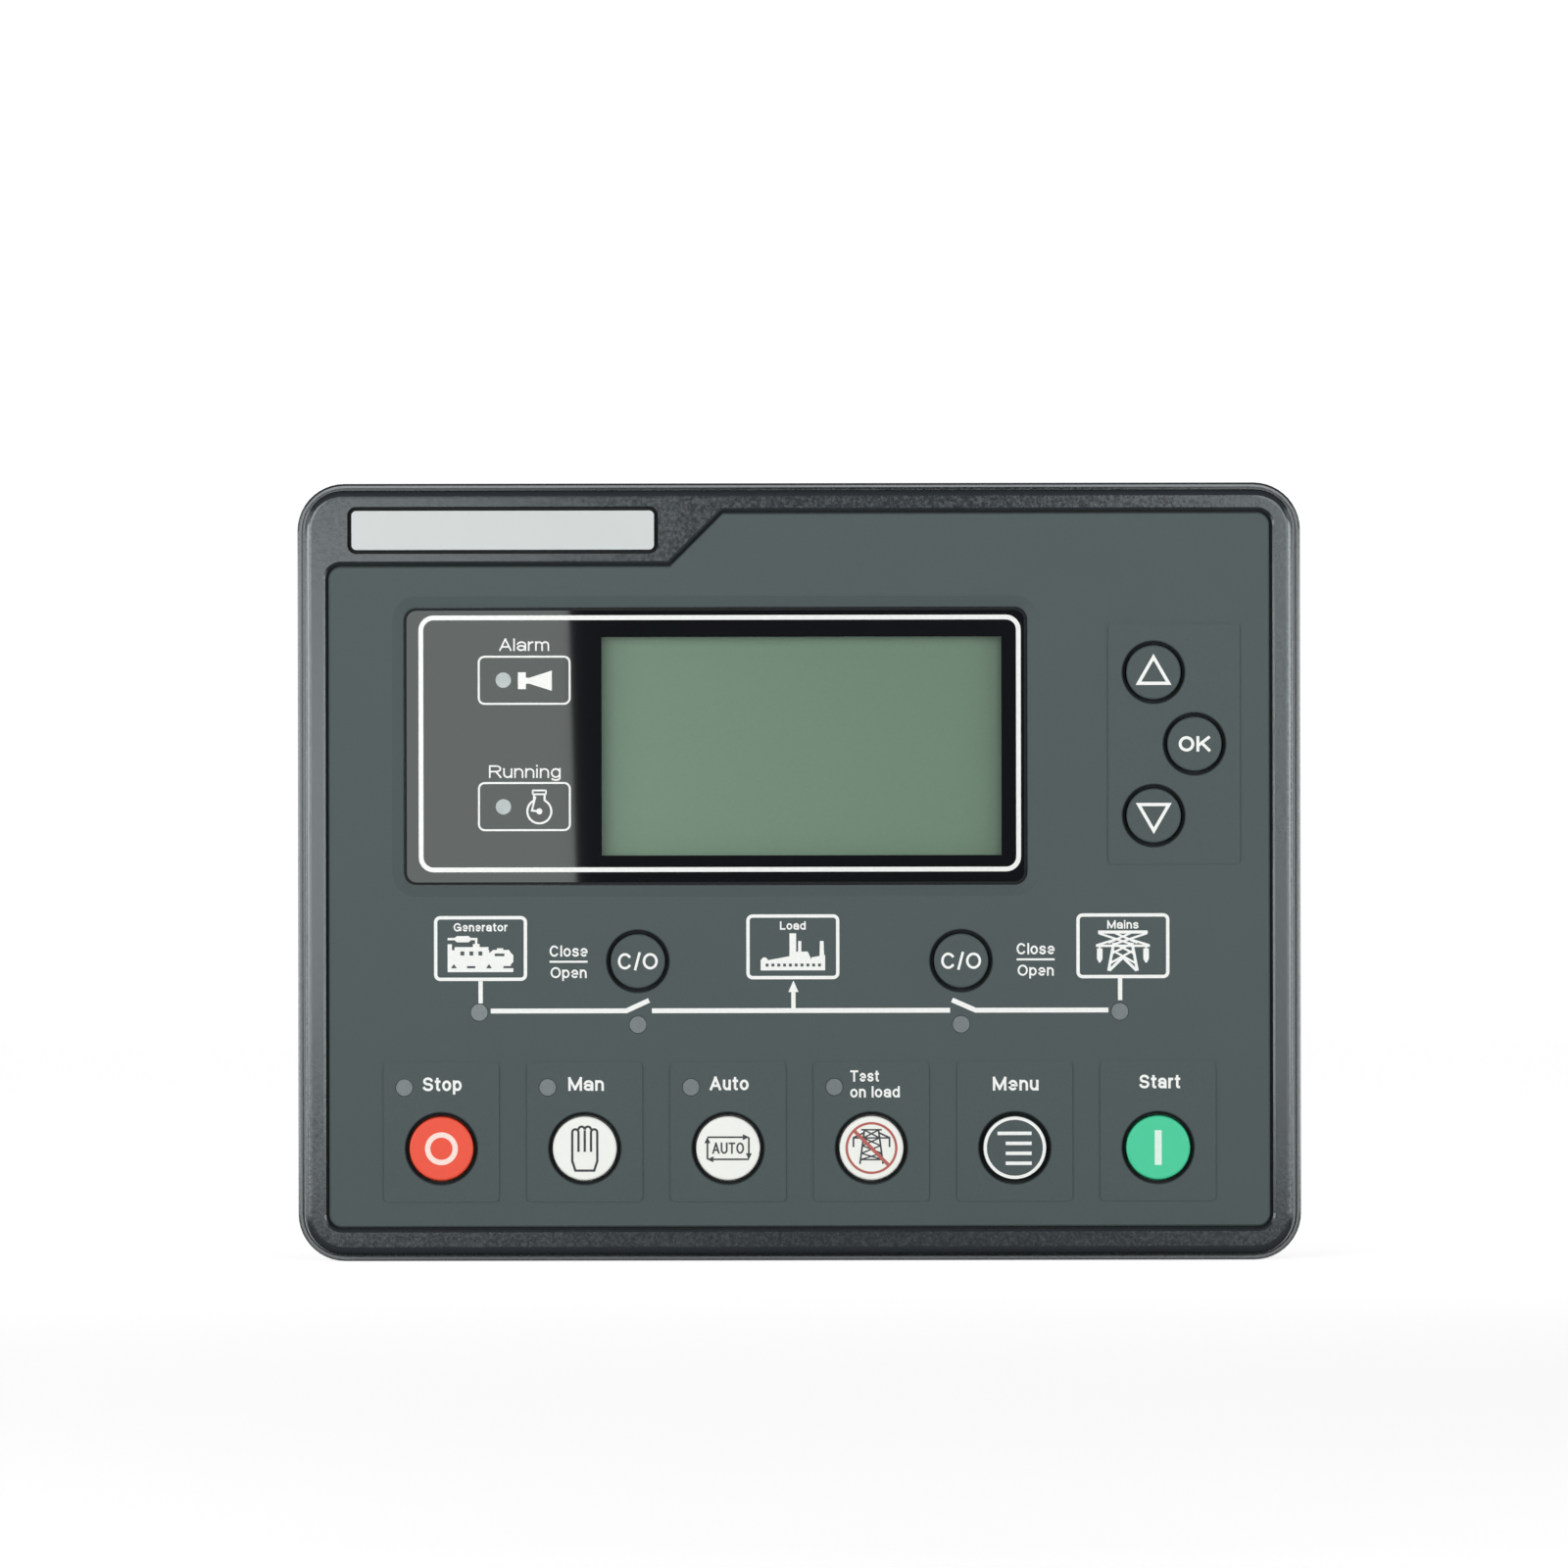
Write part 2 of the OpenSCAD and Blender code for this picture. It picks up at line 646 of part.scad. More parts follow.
module front_bezel() {
  color(frame_grey) stand() difference() {
    union() {
      difference() {
        carried(bezel_w, bezel_h, bezel_r, flange_z, bezel_d) frame_profile();
        face_form(face_gap, floor_z, bezel_d - band_chamfer, bezel_d + over, band_chamfer + over);
        slab(flange_z - over, web_z) rounded(inner_w, inner_h, inner_r);
      }
      for (at = SPACERS) rod(at, 2 * boss_r, board_z, web_z);
      for (at = PILLARS) rod(at, 2 * boss_r, flange_z, web_z);
    }
    for (at = SPACERS) rod(at, tapped_d, board_z - over, web_z - over);
    for (at = PILLARS) rod(at, tapped_d, flange_z - over, web_z);
    slab(bezel_d - plate_recess, bezel_d + over)
      translate([plate_left + (plate_w - bezel_w) / 2, (bezel_h - plate_h) / 2 - plate_top])
        rounded(plate_w + 2 * plate_gap, plate_h + 2 * plate_gap, plate_r + plate_gap);
    slab(lens_z, floor_z + over) translate([lens_x, lens_y])
      rounded(lens_w + 2 * lens_gap, lens_h + 2 * lens_gap, lens_r + lens_gap);
    slab(web_z - over, floor_z + over) view_outline(view_edge);
    for (at = SMALL_KEYS) rod(at, small_key_d + 2 * key_gap, web_z - over, floor_z + over);
    for (at = ROW_KEYS) rod(at, row_key_d + 2 * key_gap, web_z - over, floor_z + over);
    for (at = FACE_LAMPS) rod(at, lamp_d + 2 * lamp_gap, web_z - over, floor_z + over);
    for (at = SCREEN_LAMPS) rod(at, screen_lamp_d + 2 * lamp_gap, web_z - over, floor_z + over);
    slab(flange_z - over, gasket_t) gasket_outline(gasket_gap);
  }
}

module face_panel() {
  bevel_rise = face_z - lens_z - lens_t;
  mouth_r = lens_r + lens_gap;
  color(face_grey) stand() difference() {
    union() {
      face_form(0, floor_z, face_z - face_chamfer, face_z, -face_chamfer);
      for (at = ROW_KEYS) slab(floor_z, face_z + pad_t) translate([at.x, at.y + pad_drop])
        rounded(pad_w, pad_h, pad_r);
      slab(floor_z, face_z + pad_t) translate([nav_x + ok_out / 2, nav_y])
        rounded(nav_pad_w, nav_pad_h, pad_r);
    }
    translate([lens_x, lens_y, 0])
      carried(lens_w + 2 * lens_gap, lens_h + 2 * lens_gap, mouth_r, floor_z - over, face_z + bevel_rise)
        mouth_profile(mouth_r, floor_z - over, face_z - bevel_rise, face_z + bevel_rise, 2 * lens_bevel);
    for (at = SMALL_KEYS) rod(at, small_key_d + 2 * ring_gap, floor_z - over, face_z + over);
    for (at = ROW_KEYS) rod(at, row_key_d + 2 * ring_gap, floor_z - over, face_z + over);
    for (at = FACE_LAMPS) rod(at, lamp_d + 2 * lamp_gap, floor_z - over, face_z + over);
  }
}

module nameplate() {
  color("#d3d7d6") stand() slab(bezel_d - plate_recess, bezel_d - plate_recess + plate_t)
    translate([plate_left + (plate_w - bezel_w) / 2, (bezel_h - plate_h) / 2 - plate_top])
      rounded(plate_w, plate_h, plate_r);
}

module screen_lens() {
  color(black) stand() slab(lens_z, lens_z + lens_t)
    translate([lens_x, lens_y]) rounded(lens_w, lens_h, lens_r);
}

// The display's outline, grown by a border
module view_outline(grow) {
  translate([lcd_x, lens_y]) square([view_w + 2 * grow, view_h + 2 * grow], center = true);
}

module lcd_frame() {
  front = web_z - lcd_gap;
  color(steel) stand() difference() {
    slab(board_z, front) view_outline(lcd_border);
    slab(board_z - over, front - lcd_sheet) view_outline(lcd_border - lcd_sheet);
    slab(front - lcd_sheet - over, front + over) view_outline(view_edge / 2);
  }
}

module lcd_glass() {
  front = web_z - lcd_gap - lcd_sheet;
  color("#6c836f") stand() slab(front - lcd_glass_t, front) view_outline(lcd_border - lcd_sheet - lcd_gap);
}

module lcd_backlight() {
  front = web_z - lcd_gap - lcd_sheet - lcd_glass_t;
  color("#e4ead8") stand() slab(board_z, front) view_outline(lcd_border - lcd_sheet - lcd_gap);
}

// A key: cap with an eased edge, a stop rim behind the web, and a post for the switch
module key(at, d, tint) {
  r = d / 2;
  color(tint) stand() translate(at) rotate_extrude() difference() {
    union() {
      translate([0, web_z - key_play]) square([r, key_z - web_z + key_play]);
      translate([0, web_z - key_play - key_rim_t]) square([r + key_rim, key_rim_t]);
      translate([0, key_rear]) square([stem_d / 2 + key_rim, key_post]);
    }
    translate([r - key_edge, key_z - key_edge]) spandrel(key_edge);
  }
}

module key_up() { key(at_up, small_key_d, face_grey); }
module key_ok() { key(at_ok, small_key_d, face_grey); }
module key_down() { key(at_down, small_key_d, face_grey); }
module key_generator() { key(at_generator, small_key_d, face_grey); }
module key_mains() { key(at_mains, small_key_d, face_grey); }
module key_stop() { key(at_stop, row_key_d, key_red); }
module key_man() { key(at_man, row_key_d, key_white); }
module key_auto() { key(at_auto, row_key_d, key_white); }
module key_test() { key(at_test, row_key_d, key_white); }
module key_menu() { key(at_menu, row_key_d, face_grey); }
module key_start() { key(at_start, row_key_d, key_green); }

// The plunger of a key's switch, which travels with the key
module switch_stem(at) {
  color(black) stand() rod(at, stem_d, switch_z - stem_in, key_rear);
}

module switch_stem_up() { switch_stem(at_up); }
module switch_stem_ok() { switch_stem(at_ok); }
module switch_stem_down() { switch_stem(at_down); }
module switch_stem_generator() { switch_stem(at_generator); }
module switch_stem_mains() { switch_stem(at_mains); }
module switch_stem_stop() { switch_stem(at_stop); }
module switch_stem_man() { switch_stem(at_man); }
module switch_stem_auto() { switch_stem(at_auto); }
module switch_stem_test() { switch_stem(at_test); }
module switch_stem_menu() { switch_stem(at_menu); }
module switch_stem_start() { switch_stem(at_start); }

module key_switches() {
  bore_d = stem_d + 2 * stem_gap;
  color("#c9cccd") stand() for (at = concat(SMALL_KEYS, ROW_KEYS)) difference() {
    slab(board_z, switch_z) translate(at) square(switch_w, center = true);
    rod(at, bore_d, switch_z - stem_in - key_travel - stem_gap, switch_z + over);
  }
}

// A light pipe with a rim behind the web
module light_pipe(at, d, front) {
  rear = board_z + led_h + lamp_gap;
  rod(at, d, rear, front);
  rod(at, d + 2 * lamp_rim, web_z - lamp_gap - lamp_rim, web_z - lamp_gap);
}

module light_pipes() {
  color("#a9b1b1") stand() {
    for (at = FACE_LAMPS) light_pipe(at, lamp_d, face_z);
    for (at = SCREEN_LAMPS) light_pipe(at, screen_lamp_d, lens_z);
  }
}

module indicator_leds() {
  color("#f2eecb") stand() for (at = concat(FACE_LAMPS, SCREEN_LAMPS))
    slab(board_z, board_z + led_h) translate(at) square(led_w, center = true);
}

// A board's outline, notched for the housing's pillars and drilled for the spacers
module board_outline() {
  difference() {
    square([board_w, board_h], center = true);
    for (at = PILLARS) translate(at) circle(pillar_r + hole_gap);
    for (at = SPACERS) translate(at) circle(d = clear_d);
  }
}

module display_board() {
  color(board_green) stand() slab(board_rear, board_z) board_outline();
}

module main_board() {
  color(board_green) stand() slab(main_rear, main_z) board_outline();
}

module board_spacers() {
  stud_z = web_z - over - hole_gap;
  color(steel) stand() for (at = SPACERS) difference() {
    union() {
      translate([at.x, at.y, main_z]) cylinder(d = spacer_af / cos(30), h = spacer_len, $fn = 6);
      rod(at, screw_d, board_rear, stud_z);
    }
    rod(at, tapped_d, main_z - over, main_z + spacer_len / 2);
  }
}

// A pan-head screw with a cross recess, driven forwards from a seat
module pan_screw(at, seat, tip) {
  difference() {
    union() {
      rod(at, screw_d, seat, tip);
      rod(at, screw_head_d, seat - screw_head_h, seat);
    }
    for (turn = [0, 90])
      translate([at.x, at.y, seat - screw_head_h]) rotate(turn)
        cube([screw_d, recess_w, screw_head_h], center = true);
  }
}

module board_screws() {
  color(steel) stand() for (at = SPACERS) pan_screw(at, main_rear, main_z + spacer_len / 2 - hole_gap);
}

module board_link() {
  color(black) stand() slab(main_z, board_rear)
    translate([0, key_row_y]) square([link_len, link_w], center = true);
}

module relays() {
  color("#3f74b8") stand() for (place = [0:relay_count - 1])
    slab(main_rear - relay_h, main_rear) translate([relay_x + place * relay_pitch, relay_y])
      rounded(relay_w, relay_len, part_r);
}

module current_transformers() {
  color("#2b3a55") stand() for (place = [0:ct_count - 1])
    slab(main_rear - ct_h, main_rear) translate([ct_x + place * ct_pitch, relay_y]) difference() {
      rounded(ct_w, ct_w, part_r);
      circle(d = ct_bore);
    }
}

module capacitors() {
  color("#2d3138") stand() for (place = [0:cap_count - 1])
    rod([relay_x + place * relay_pitch, cap_y], cap_d, main_rear - cap_h, main_rear);
}

module processor() {
  color(black) stand() slab(main_rear - chip_h, main_rear)
    translate([0, cap_y]) square(chip_w, center = true);
}

module usb_port() {
  mouth = tower_z + usb_sink;
  color(steel) stand() {
    difference() {
      slab(mouth, main_rear) translate([usb_x, usb_y]) square([usb_w, usb_h], center = true);
      slab(mouth - over, main_rear - usb_wall) translate([usb_x, usb_y])
        square([usb_w - 2 * usb_wall, usb_h - 2 * usb_wall], center = true);
    }
    slab(mouth + tongue_sink, main_rear - usb_wall) translate([usb_x, usb_y])
      square([tongue_w, tongue_h], center = true);
  }
}

// The tower's section, with its rear edge rounded
module tower_profile() {
  difference() {
    square([housing_r, bay_z - tower_z]);
    translate([housing_r - tower_edge, bay_z - tower_z - tower_edge]) spandrel(tower_edge);
  }
}

module rear_housing() {
  slot_front = -clip_back - clip_len + clip_t + clip_gap;
  slot_rear = -clip_back - clip_len - clip_gap;
  color(frame_grey) stand() difference() {
    union() {
      difference() {
        union() {
          slab(bay_z, flange_z) rounded(housing_w, housing_h, housing_r);
          translate([0, 0, bay_z]) mirror([0, 0, 1])
            carried(housing_w, tower_h, housing_r, 0, bay_z - tower_z) tower_profile();
        }
        slab(bay_z + wall_t, flange_z + over) rounded(inner_w, inner_h, inner_r);
        slab(tower_z + wall_t, bay_z + wall_t + over) rounded(inner_w, tower_h - 2 * wall_t, inner_r);
      }
      for (at = PILLARS) rod(at, 2 * pillar_r, bay_z + wall_t / 2, flange_z);
    }
    for (at = PILLARS) {
      rod(at, clear_d, bay_z - over, flange_z + over);
      rod(at, screw_head_d + 2 * hole_gap, bay_z - over, pillar_seat);
    }
    slab(bay_z - over, bay_z + wall_t + over) header_outlines(hole_gap);
    slab(tower_z - over, tower_z + wall_t + over) {
      translate([usb_x, usb_y]) square([usb_w + 2 * usb_gap, usb_h + 2 * usb_gap], center = true);
      for (side = [-1, 1], place = [0:vent_count - 1])
        translate([side * vent_x + (place - (vent_count - 1) / 2) * vent_pitch, vent_y])
          slot(vent_w, vent_len);
    }
    slab(slot_rear, slot_front)
      square([housing_w + over, clip_w + 2 * clip_gap], center = true);
  }
}

module housing_screws() {
  color(steel) stand() for (at = PILLARS) pan_screw(at, pillar_seat, web_z - over);
}

// The gasket's ring, grown by its play in the groove
module gasket_outline(grow) {
  outer = grow - gasket_edge;
  inner = gasket_inset - grow;
  difference() {
    rounded(bezel_w + 2 * outer, bezel_h + 2 * outer, bezel_r + outer);
    rounded(cutout_w + 2 * inner, cutout_h + 2 * inner, housing_r);
  }
}

module panel_gasket() {
  color(black) stand() slab(0, gasket_t) gasket_outline(0);
}

// A header: a box open to the rear that takes the nose of a plug
module header(len) {
  difference() {
    slab(header_z, main_rear) square([len, header_h], center = true);
    slab(header_z - over, main_rear - header_wall)
      square([len - 2 * header_wall, header_h - 2 * header_wall], center = true);
  }
}

module terminal_headers() {
  color(terminal_green) stand() for (place = [0:2]) {
    translate([plug_x(TOP_ROW, place), terminal_y, 0]) header(plug_len(TOP_ROW, place));
    translate([plug_x(BOTTOM_ROW, place), -terminal_y, 0]) header(plug_len(BOTTOM_ROW, place));
  }
}

// A plug: nose in the header, body behind it with wire entries and wells for the clamp screws
module plug(row, place, side) {
  len = plug_len(row, place);
  nose = header_wall + nose_gap;
  rear = header_z - plug_d;
  well_d = clamp_d + 2 * thread_gap;
  color(terminal_green) stand() translate([plug_x(row, place), side * terminal_y, 0]) difference() {
    union() {
      slab(header_z, main_rear - nose) square([len - 2 * nose, header_h - 2 * nose], center = true);
      slab(rear, header_z) square([len, plug_h], center = true);
    }
    for (pole = [0:row[place][0] - 1]) translate([pole_x(row, place, pole), 0, 0]) {
      slab(rear - over, rear + entry_d) square(entry_w, center = true);
      translate([0, side * (plug_h / 2 - clamp_sink - clamp_h), rear + plug_d / 2]) rotate([-90 * side, 0, 0])
        cylinder(d = well_d, h = plug_h / 2);
    }
  }
}

module terminal_plug_top_left() { plug(TOP_ROW, 0, 1); }
module terminal_plug_top_middle() { plug(TOP_ROW, 1, 1); }
module terminal_plug_top_right() { plug(TOP_ROW, 2, 1); }
module terminal_plug_bottom_left() { plug(BOTTOM_ROW, 0, -1); }
module terminal_plug_bottom_middle() { plug(BOTTOM_ROW, 1, -1); }
module terminal_plug_bottom_right() { plug(BOTTOM_ROW, 2, -1); }

// The slotted clamp screws of one row of plugs
module clamp_screws(row, side) {
  seat = terminal_y + plug_h / 2 - clamp_sink - clamp_h;
  for (place = [0:2], pole = [0:row[place][0] - 1])
    translate([plug_x(row, place) + pole_x(row, place, pole), side * seat, header_z - plug_d / 2])
      rotate([-90 * side, 0, 0]) difference() {
        cylinder(d = clamp_d, h = clamp_h);
        translate([0, 0, clamp_h]) cube([clamp_d + over, clamp_slot, clamp_h], center = true);
      }
}

module terminal_screws() {
  color(steel) stand() {
    clamp_screws(TOP_ROW, 1);
    clamp_screws(BOTTOM_ROW, -1);
  }
}

// A clip's section: hook through the wall, strip along it, and a foot for the jack screw
module clip_section() {
  back = clip_back + clip_len;
  difference() {
    union() {
      translate([clip_gap, clip_back]) square([clip_reach - clip_gap, clip_t]);
      translate([clip_gap, clip_back]) square([clip_t, clip_len]);
      translate([-wall_t - clip_hook, back - clip_t])
        square([wall_t + clip_hook + clip_gap + clip_t, clip_t]);
    }
    translate([clip_gap, back - clip_t]) spandrel(clip_t);
    translate([clip_gap + clip_t, clip_back + clip_t]) rotate(180) spandrel(clip_t);
  }
}

module clip(side) {
  color(steel) stand() difference() {
    translate([side * housing_w / 2, clip_w / 2, 0]) mirror([side < 0 ? 1 : 0, 0, 0])
      rotate([90, 0, 0]) linear_extrude(clip_w) mirror([0, 1]) clip_section();
    rod(jack_at(side), jack_d + 2 * jack_gap, -clip_back - clip_t - over, -clip_back + over);
  }
}

module clip_left() { clip(-1); }
module clip_right() { clip(1); }

// A jack screw, backed off, with a hexagon socket in its head
module clip_screw(side) {
  at = jack_at(side);
  head_z = -clip_back - clip_t - jack_travel - hole_gap;
  color(steel) stand() difference() {
    union() {
      rod(at, jack_d, head_z, -jack_start - jack_point);
      translate([at.x, at.y, -jack_start - jack_point])
        cylinder(d1 = jack_d, d2 = jack_d - jack_point, h = jack_point);
      rod(at, jack_head_d, head_z - jack_head_h, head_z);
    }
    translate([at.x, at.y, head_z - jack_head_h - over])
      cylinder(d = socket_d, h = jack_head_h / 2 + over, $fn = 6);
  }
}

module clip_screw_left() { clip_screw(-1); }
module clip_screw_right() { clip_screw(1); }

front_bezel();
face_panel();
nameplate();
screen_lens();
lcd_glass();
lcd_backlight();
lcd_frame();
key_up();
key_ok();
key_down();
key_generator();
key_mains();
key_stop();
key_man();
key_auto();
key_test();
key_menu();
key_start();
switch_stem_up();
switch_stem_ok();
switch_stem_down();
switch_stem_generator();
switch_stem_mains();
switch_stem_stop();
switch_stem_man();
switch_stem_auto();
switch_stem_test();
switch_stem_menu();
switch_stem_start();
key_switches();
light_pipes();
indicator_leds();
display_board();
main_board();
board_spacers();
board_screws();
board_link();
relays();
current_transformers();
capacitors();
processor();
usb_port();
rear_housing();
housing_screws();
panel_gasket();
terminal_headers();
terminal_plug_top_left();
terminal_plug_top_middle();
terminal_plug_top_right();
terminal_plug_bottom_left();
terminal_plug_bottom_middle();
terminal_plug_bottom_right();
terminal_screws();
clip_left();
clip_right();
clip_screw_left();
clip_screw_right();
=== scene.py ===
"""Looks of a panel-mounted genset controller: printed legends, finishes, studio and camera.

Sizes are millimetres in the part's own frame: X right along the face, Y into the panel, Z up the face.
Marks on the face are drawn as (x, z) points, and their height is measured from the panel towards the viewer.
"""

import json
import logging
import math
from dataclasses import dataclass, field
from enum import Enum
from typing import Any

import bpy
import numpy as np
from mathutils import Matrix, Vector
from numpy.typing import NDArray


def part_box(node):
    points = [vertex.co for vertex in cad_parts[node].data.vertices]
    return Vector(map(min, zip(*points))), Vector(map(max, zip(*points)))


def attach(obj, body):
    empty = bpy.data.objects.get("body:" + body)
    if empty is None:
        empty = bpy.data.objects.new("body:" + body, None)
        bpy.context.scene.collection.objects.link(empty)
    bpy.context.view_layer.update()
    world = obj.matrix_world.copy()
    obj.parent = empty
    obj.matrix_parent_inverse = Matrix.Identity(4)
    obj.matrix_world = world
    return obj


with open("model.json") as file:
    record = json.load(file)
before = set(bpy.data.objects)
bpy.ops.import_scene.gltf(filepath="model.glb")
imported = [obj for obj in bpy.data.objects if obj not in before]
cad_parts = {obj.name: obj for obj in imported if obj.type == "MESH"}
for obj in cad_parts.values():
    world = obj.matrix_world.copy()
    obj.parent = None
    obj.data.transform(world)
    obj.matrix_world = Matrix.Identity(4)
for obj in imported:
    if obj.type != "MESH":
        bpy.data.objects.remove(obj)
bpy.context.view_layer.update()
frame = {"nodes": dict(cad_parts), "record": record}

LOG = logging.getLogger("controller")
MM = 0.001
ROOT = "controller"

# Thickness of a printed film, how much higher each next mark stands, and the number of such heights
FILM, STEP, STEPS = 0.03, 0.0015, 16
# Heights in front of the panel: the web behind the face, the screen window, the face and its raised pads
WEB, WINDOW, FACE, PADS = 7.6, 8.7, 9.6, 9.85
# Radii of the caps of the upper keys and of the lower row
SMALL_CAP, LARGE_CAP = 5.65, 6.65
# Points on a ring, and on the quarter circle of a corner
RING_POINTS, CORNER_POINTS = 73, 9

Array = NDArray[np.float64]
Point = tuple[float, float]
Place = tuple[float, float, float]
Faces = list[list[int]]
Tree = bpy.types.NodeTree
Socket = bpy.types.NodeSocket


class Slot(Enum):
    """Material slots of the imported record."""

    FRAME = "frame_plastic"
    HOUSING = "housing_plastic"
    FACE = "face_silicone"
    WHITE = "white_silicone"
    RED = "red_silicone"
    GREEN = "green_silicone"
    PLATE = "plate_plastic"
    SCREEN = "screen_acrylic"
    DISPLAY = "display_glass"
    GUIDE = "light_guide"
    STEEL = "plated_steel"
    BOARD = "circuit_board"
    BLACK = "black_plastic"
    RELAY = "relay_plastic"
    TERMINAL = "terminal_plastic"
    GASKET = "gasket_rubber"


class Facing(Enum):
    """Which way a printed surface looks: rows send x, z and height to the part's X, Y and Z."""

    FRONT = ((1.0, 0.0, 0.0), (0.0, 0.0, 1.0), (0.0, -1.0, 0.0))
    REAR = ((-1.0, 0.0, 0.0), (0.0, 0.0, 1.0), (0.0, 1.0, 0.0))


class Anchor(Enum):
    """Which end of a word its place names."""

    LEFT = 0.0
    CENTRE = 0.5


class Key(Enum):
    """The keys, by the names of their bodies."""

    UP = "key_up"
    OK = "key_ok"
    DOWN = "key_down"
    GENERATOR = "key_generator"
    MAINS = "key_mains"
    STOP = "key_stop"
    MAN = "key_man"
    AUTO = "key_auto"
    TEST = "key_test"
    MENU = "key_menu"
    START = "key_start"

    @property
    def radius(self) -> float:
        """Radius of the key's cap."""
        return SMALL_CAP if self in (Key.UP, Key.OK, Key.DOWN, *BREAKERS) else LARGE_CAP


BREAKERS = (Key.GENERATOR, Key.MAINS)


def to_linear(colour: str) -> tuple[float, float, float, float]:
    """Linear colour of an sRGB hex value, by the sRGB transfer curve.

    Args:
        colour: The colour as #rrggbb.

    Returns:
        Linear red, green, blue and an alpha of 1.
    """
    parts = np.array([int(colour[i : i + 2], 16) for i in (1, 3, 5)]) / 255.0
    lin = np.where(parts <= 0.04045, parts / 12.92, ((parts + 0.055) / 1.055) ** 2.4)
    return float(lin[0]), float(lin[1]), float(lin[2]), 1.0


def add_node(
    tree: Tree, kind: str, sockets: dict[Any, Any] | None = None, out: int | str = 0, **settings: Any
) -> Socket | None:
    """Adds one shader node with its settings, values and links.

    Args:
        tree: The node tree.
        kind: The node's type name, without the ShaderNode that starts it.
        sockets: Input name or number to a value, or to an output socket that is linked to it.
        out: Name or number of the output that is wanted.
        settings: The node's own properties.

    Returns:
        That output, or None for a node that has no outputs.
    """
    made = tree.nodes.new(f"ShaderNode{kind}")
    for name, value in settings.items():
        setattr(made, name, value)
    for name, value in (sockets or {}).items():
        if isinstance(value, Socket):
            tree.links.new(value, made.inputs[name])
        else:
            made.inputs[name].default_value = value
    return made.outputs[out] if made.outputs else None


def pattern(where: Socket, size_mm: float) -> dict[str, Any]:
    """Inputs of a texture whose features are to be a given number of millimetres across."""
    return {"Vector": where, "Scale": 1.0 / (size_mm * MM)}


def seen(tree: Tree) -> Socket:
    """Adds nodes that give 1 for the camera's rays and for mirrored and refracted ones, else 0."""
    kinds = ("Camera", "Glossy", "Transmission")
    rays = [add_node(tree, "LightPath", out=f"Is {kind} Ray") for kind in kinds]
    glossy = add_node(tree, "Math", {0: rays[0], 1: rays[1]}, operation="MAXIMUM")
    return add_node(tree, "Math", {0: glossy, 1: rays[2]}, operation="MAXIMUM")


# The part of a noise texture's range in which nearly all of its values lie
NOISE_RANGE = {"From Min": 0.3, "From Max": 0.7}
PLASTIC_IOR, ACRYLIC_IOR, EPOXY_IOR = 1.5, 1.49, 1.55


@dataclass(frozen=True)
class Finish:
    """A surface finish, named for its real material.

    Attributes:
        name: Name of the material.
        colour: Its main colour as sRGB hex.
        roughness: Its mean roughness.
    """

    name: str
    colour: str
    roughness: float

    def material(self) -> bpy.types.Material:
        """The finish's material, made on its first use."""
        found = bpy.data.materials.get(self.name)
        if found is not None:
            return found
        made = bpy.data.materials.new(self.name)
        made.use_nodes = True
        made.node_tree.nodes.clear()
        where = add_node(made.node_tree, "TexCoord", out="Object")
        add_node(made.node_tree, "OutputMaterial", {"Surface": self.shade(made.node_tree, where)})
        return made

    def shade(self, tree: Tree, where: Socket) -> Socket:
        """Adds the finish's surface to a tree in which one socket gives a point's place on the object."""
        return add_node(tree, "BsdfPrincipled", {"Roughness": self.roughness} | self.look(tree, where))

    def look(self, tree: Tree, where: Socket) -> dict[str, Any]:
        """Inputs of the surface by name, as values or as sockets of the nodes that this adds."""
        raise NotImplementedError

    def shades(self, dark: float, light: float) -> dict[int, tuple[float, ...]]:
        """The two colours of a colour mix: the main colour times a dark and a light factor."""
        base = np.array(to_linear(self.colour))
        return {6: tuple(base * dark), 7: tuple(np.clip(base * light, 0.0, 1.0))}

    def dress(self, piece: bpy.types.Object) -> None:
        """Puts the finish in every material slot of a piece."""
        if not piece.material_slots:
            piece.data.materials.append(self.material())
        for slot in piece.material_slots:
            slot.material = self.material()


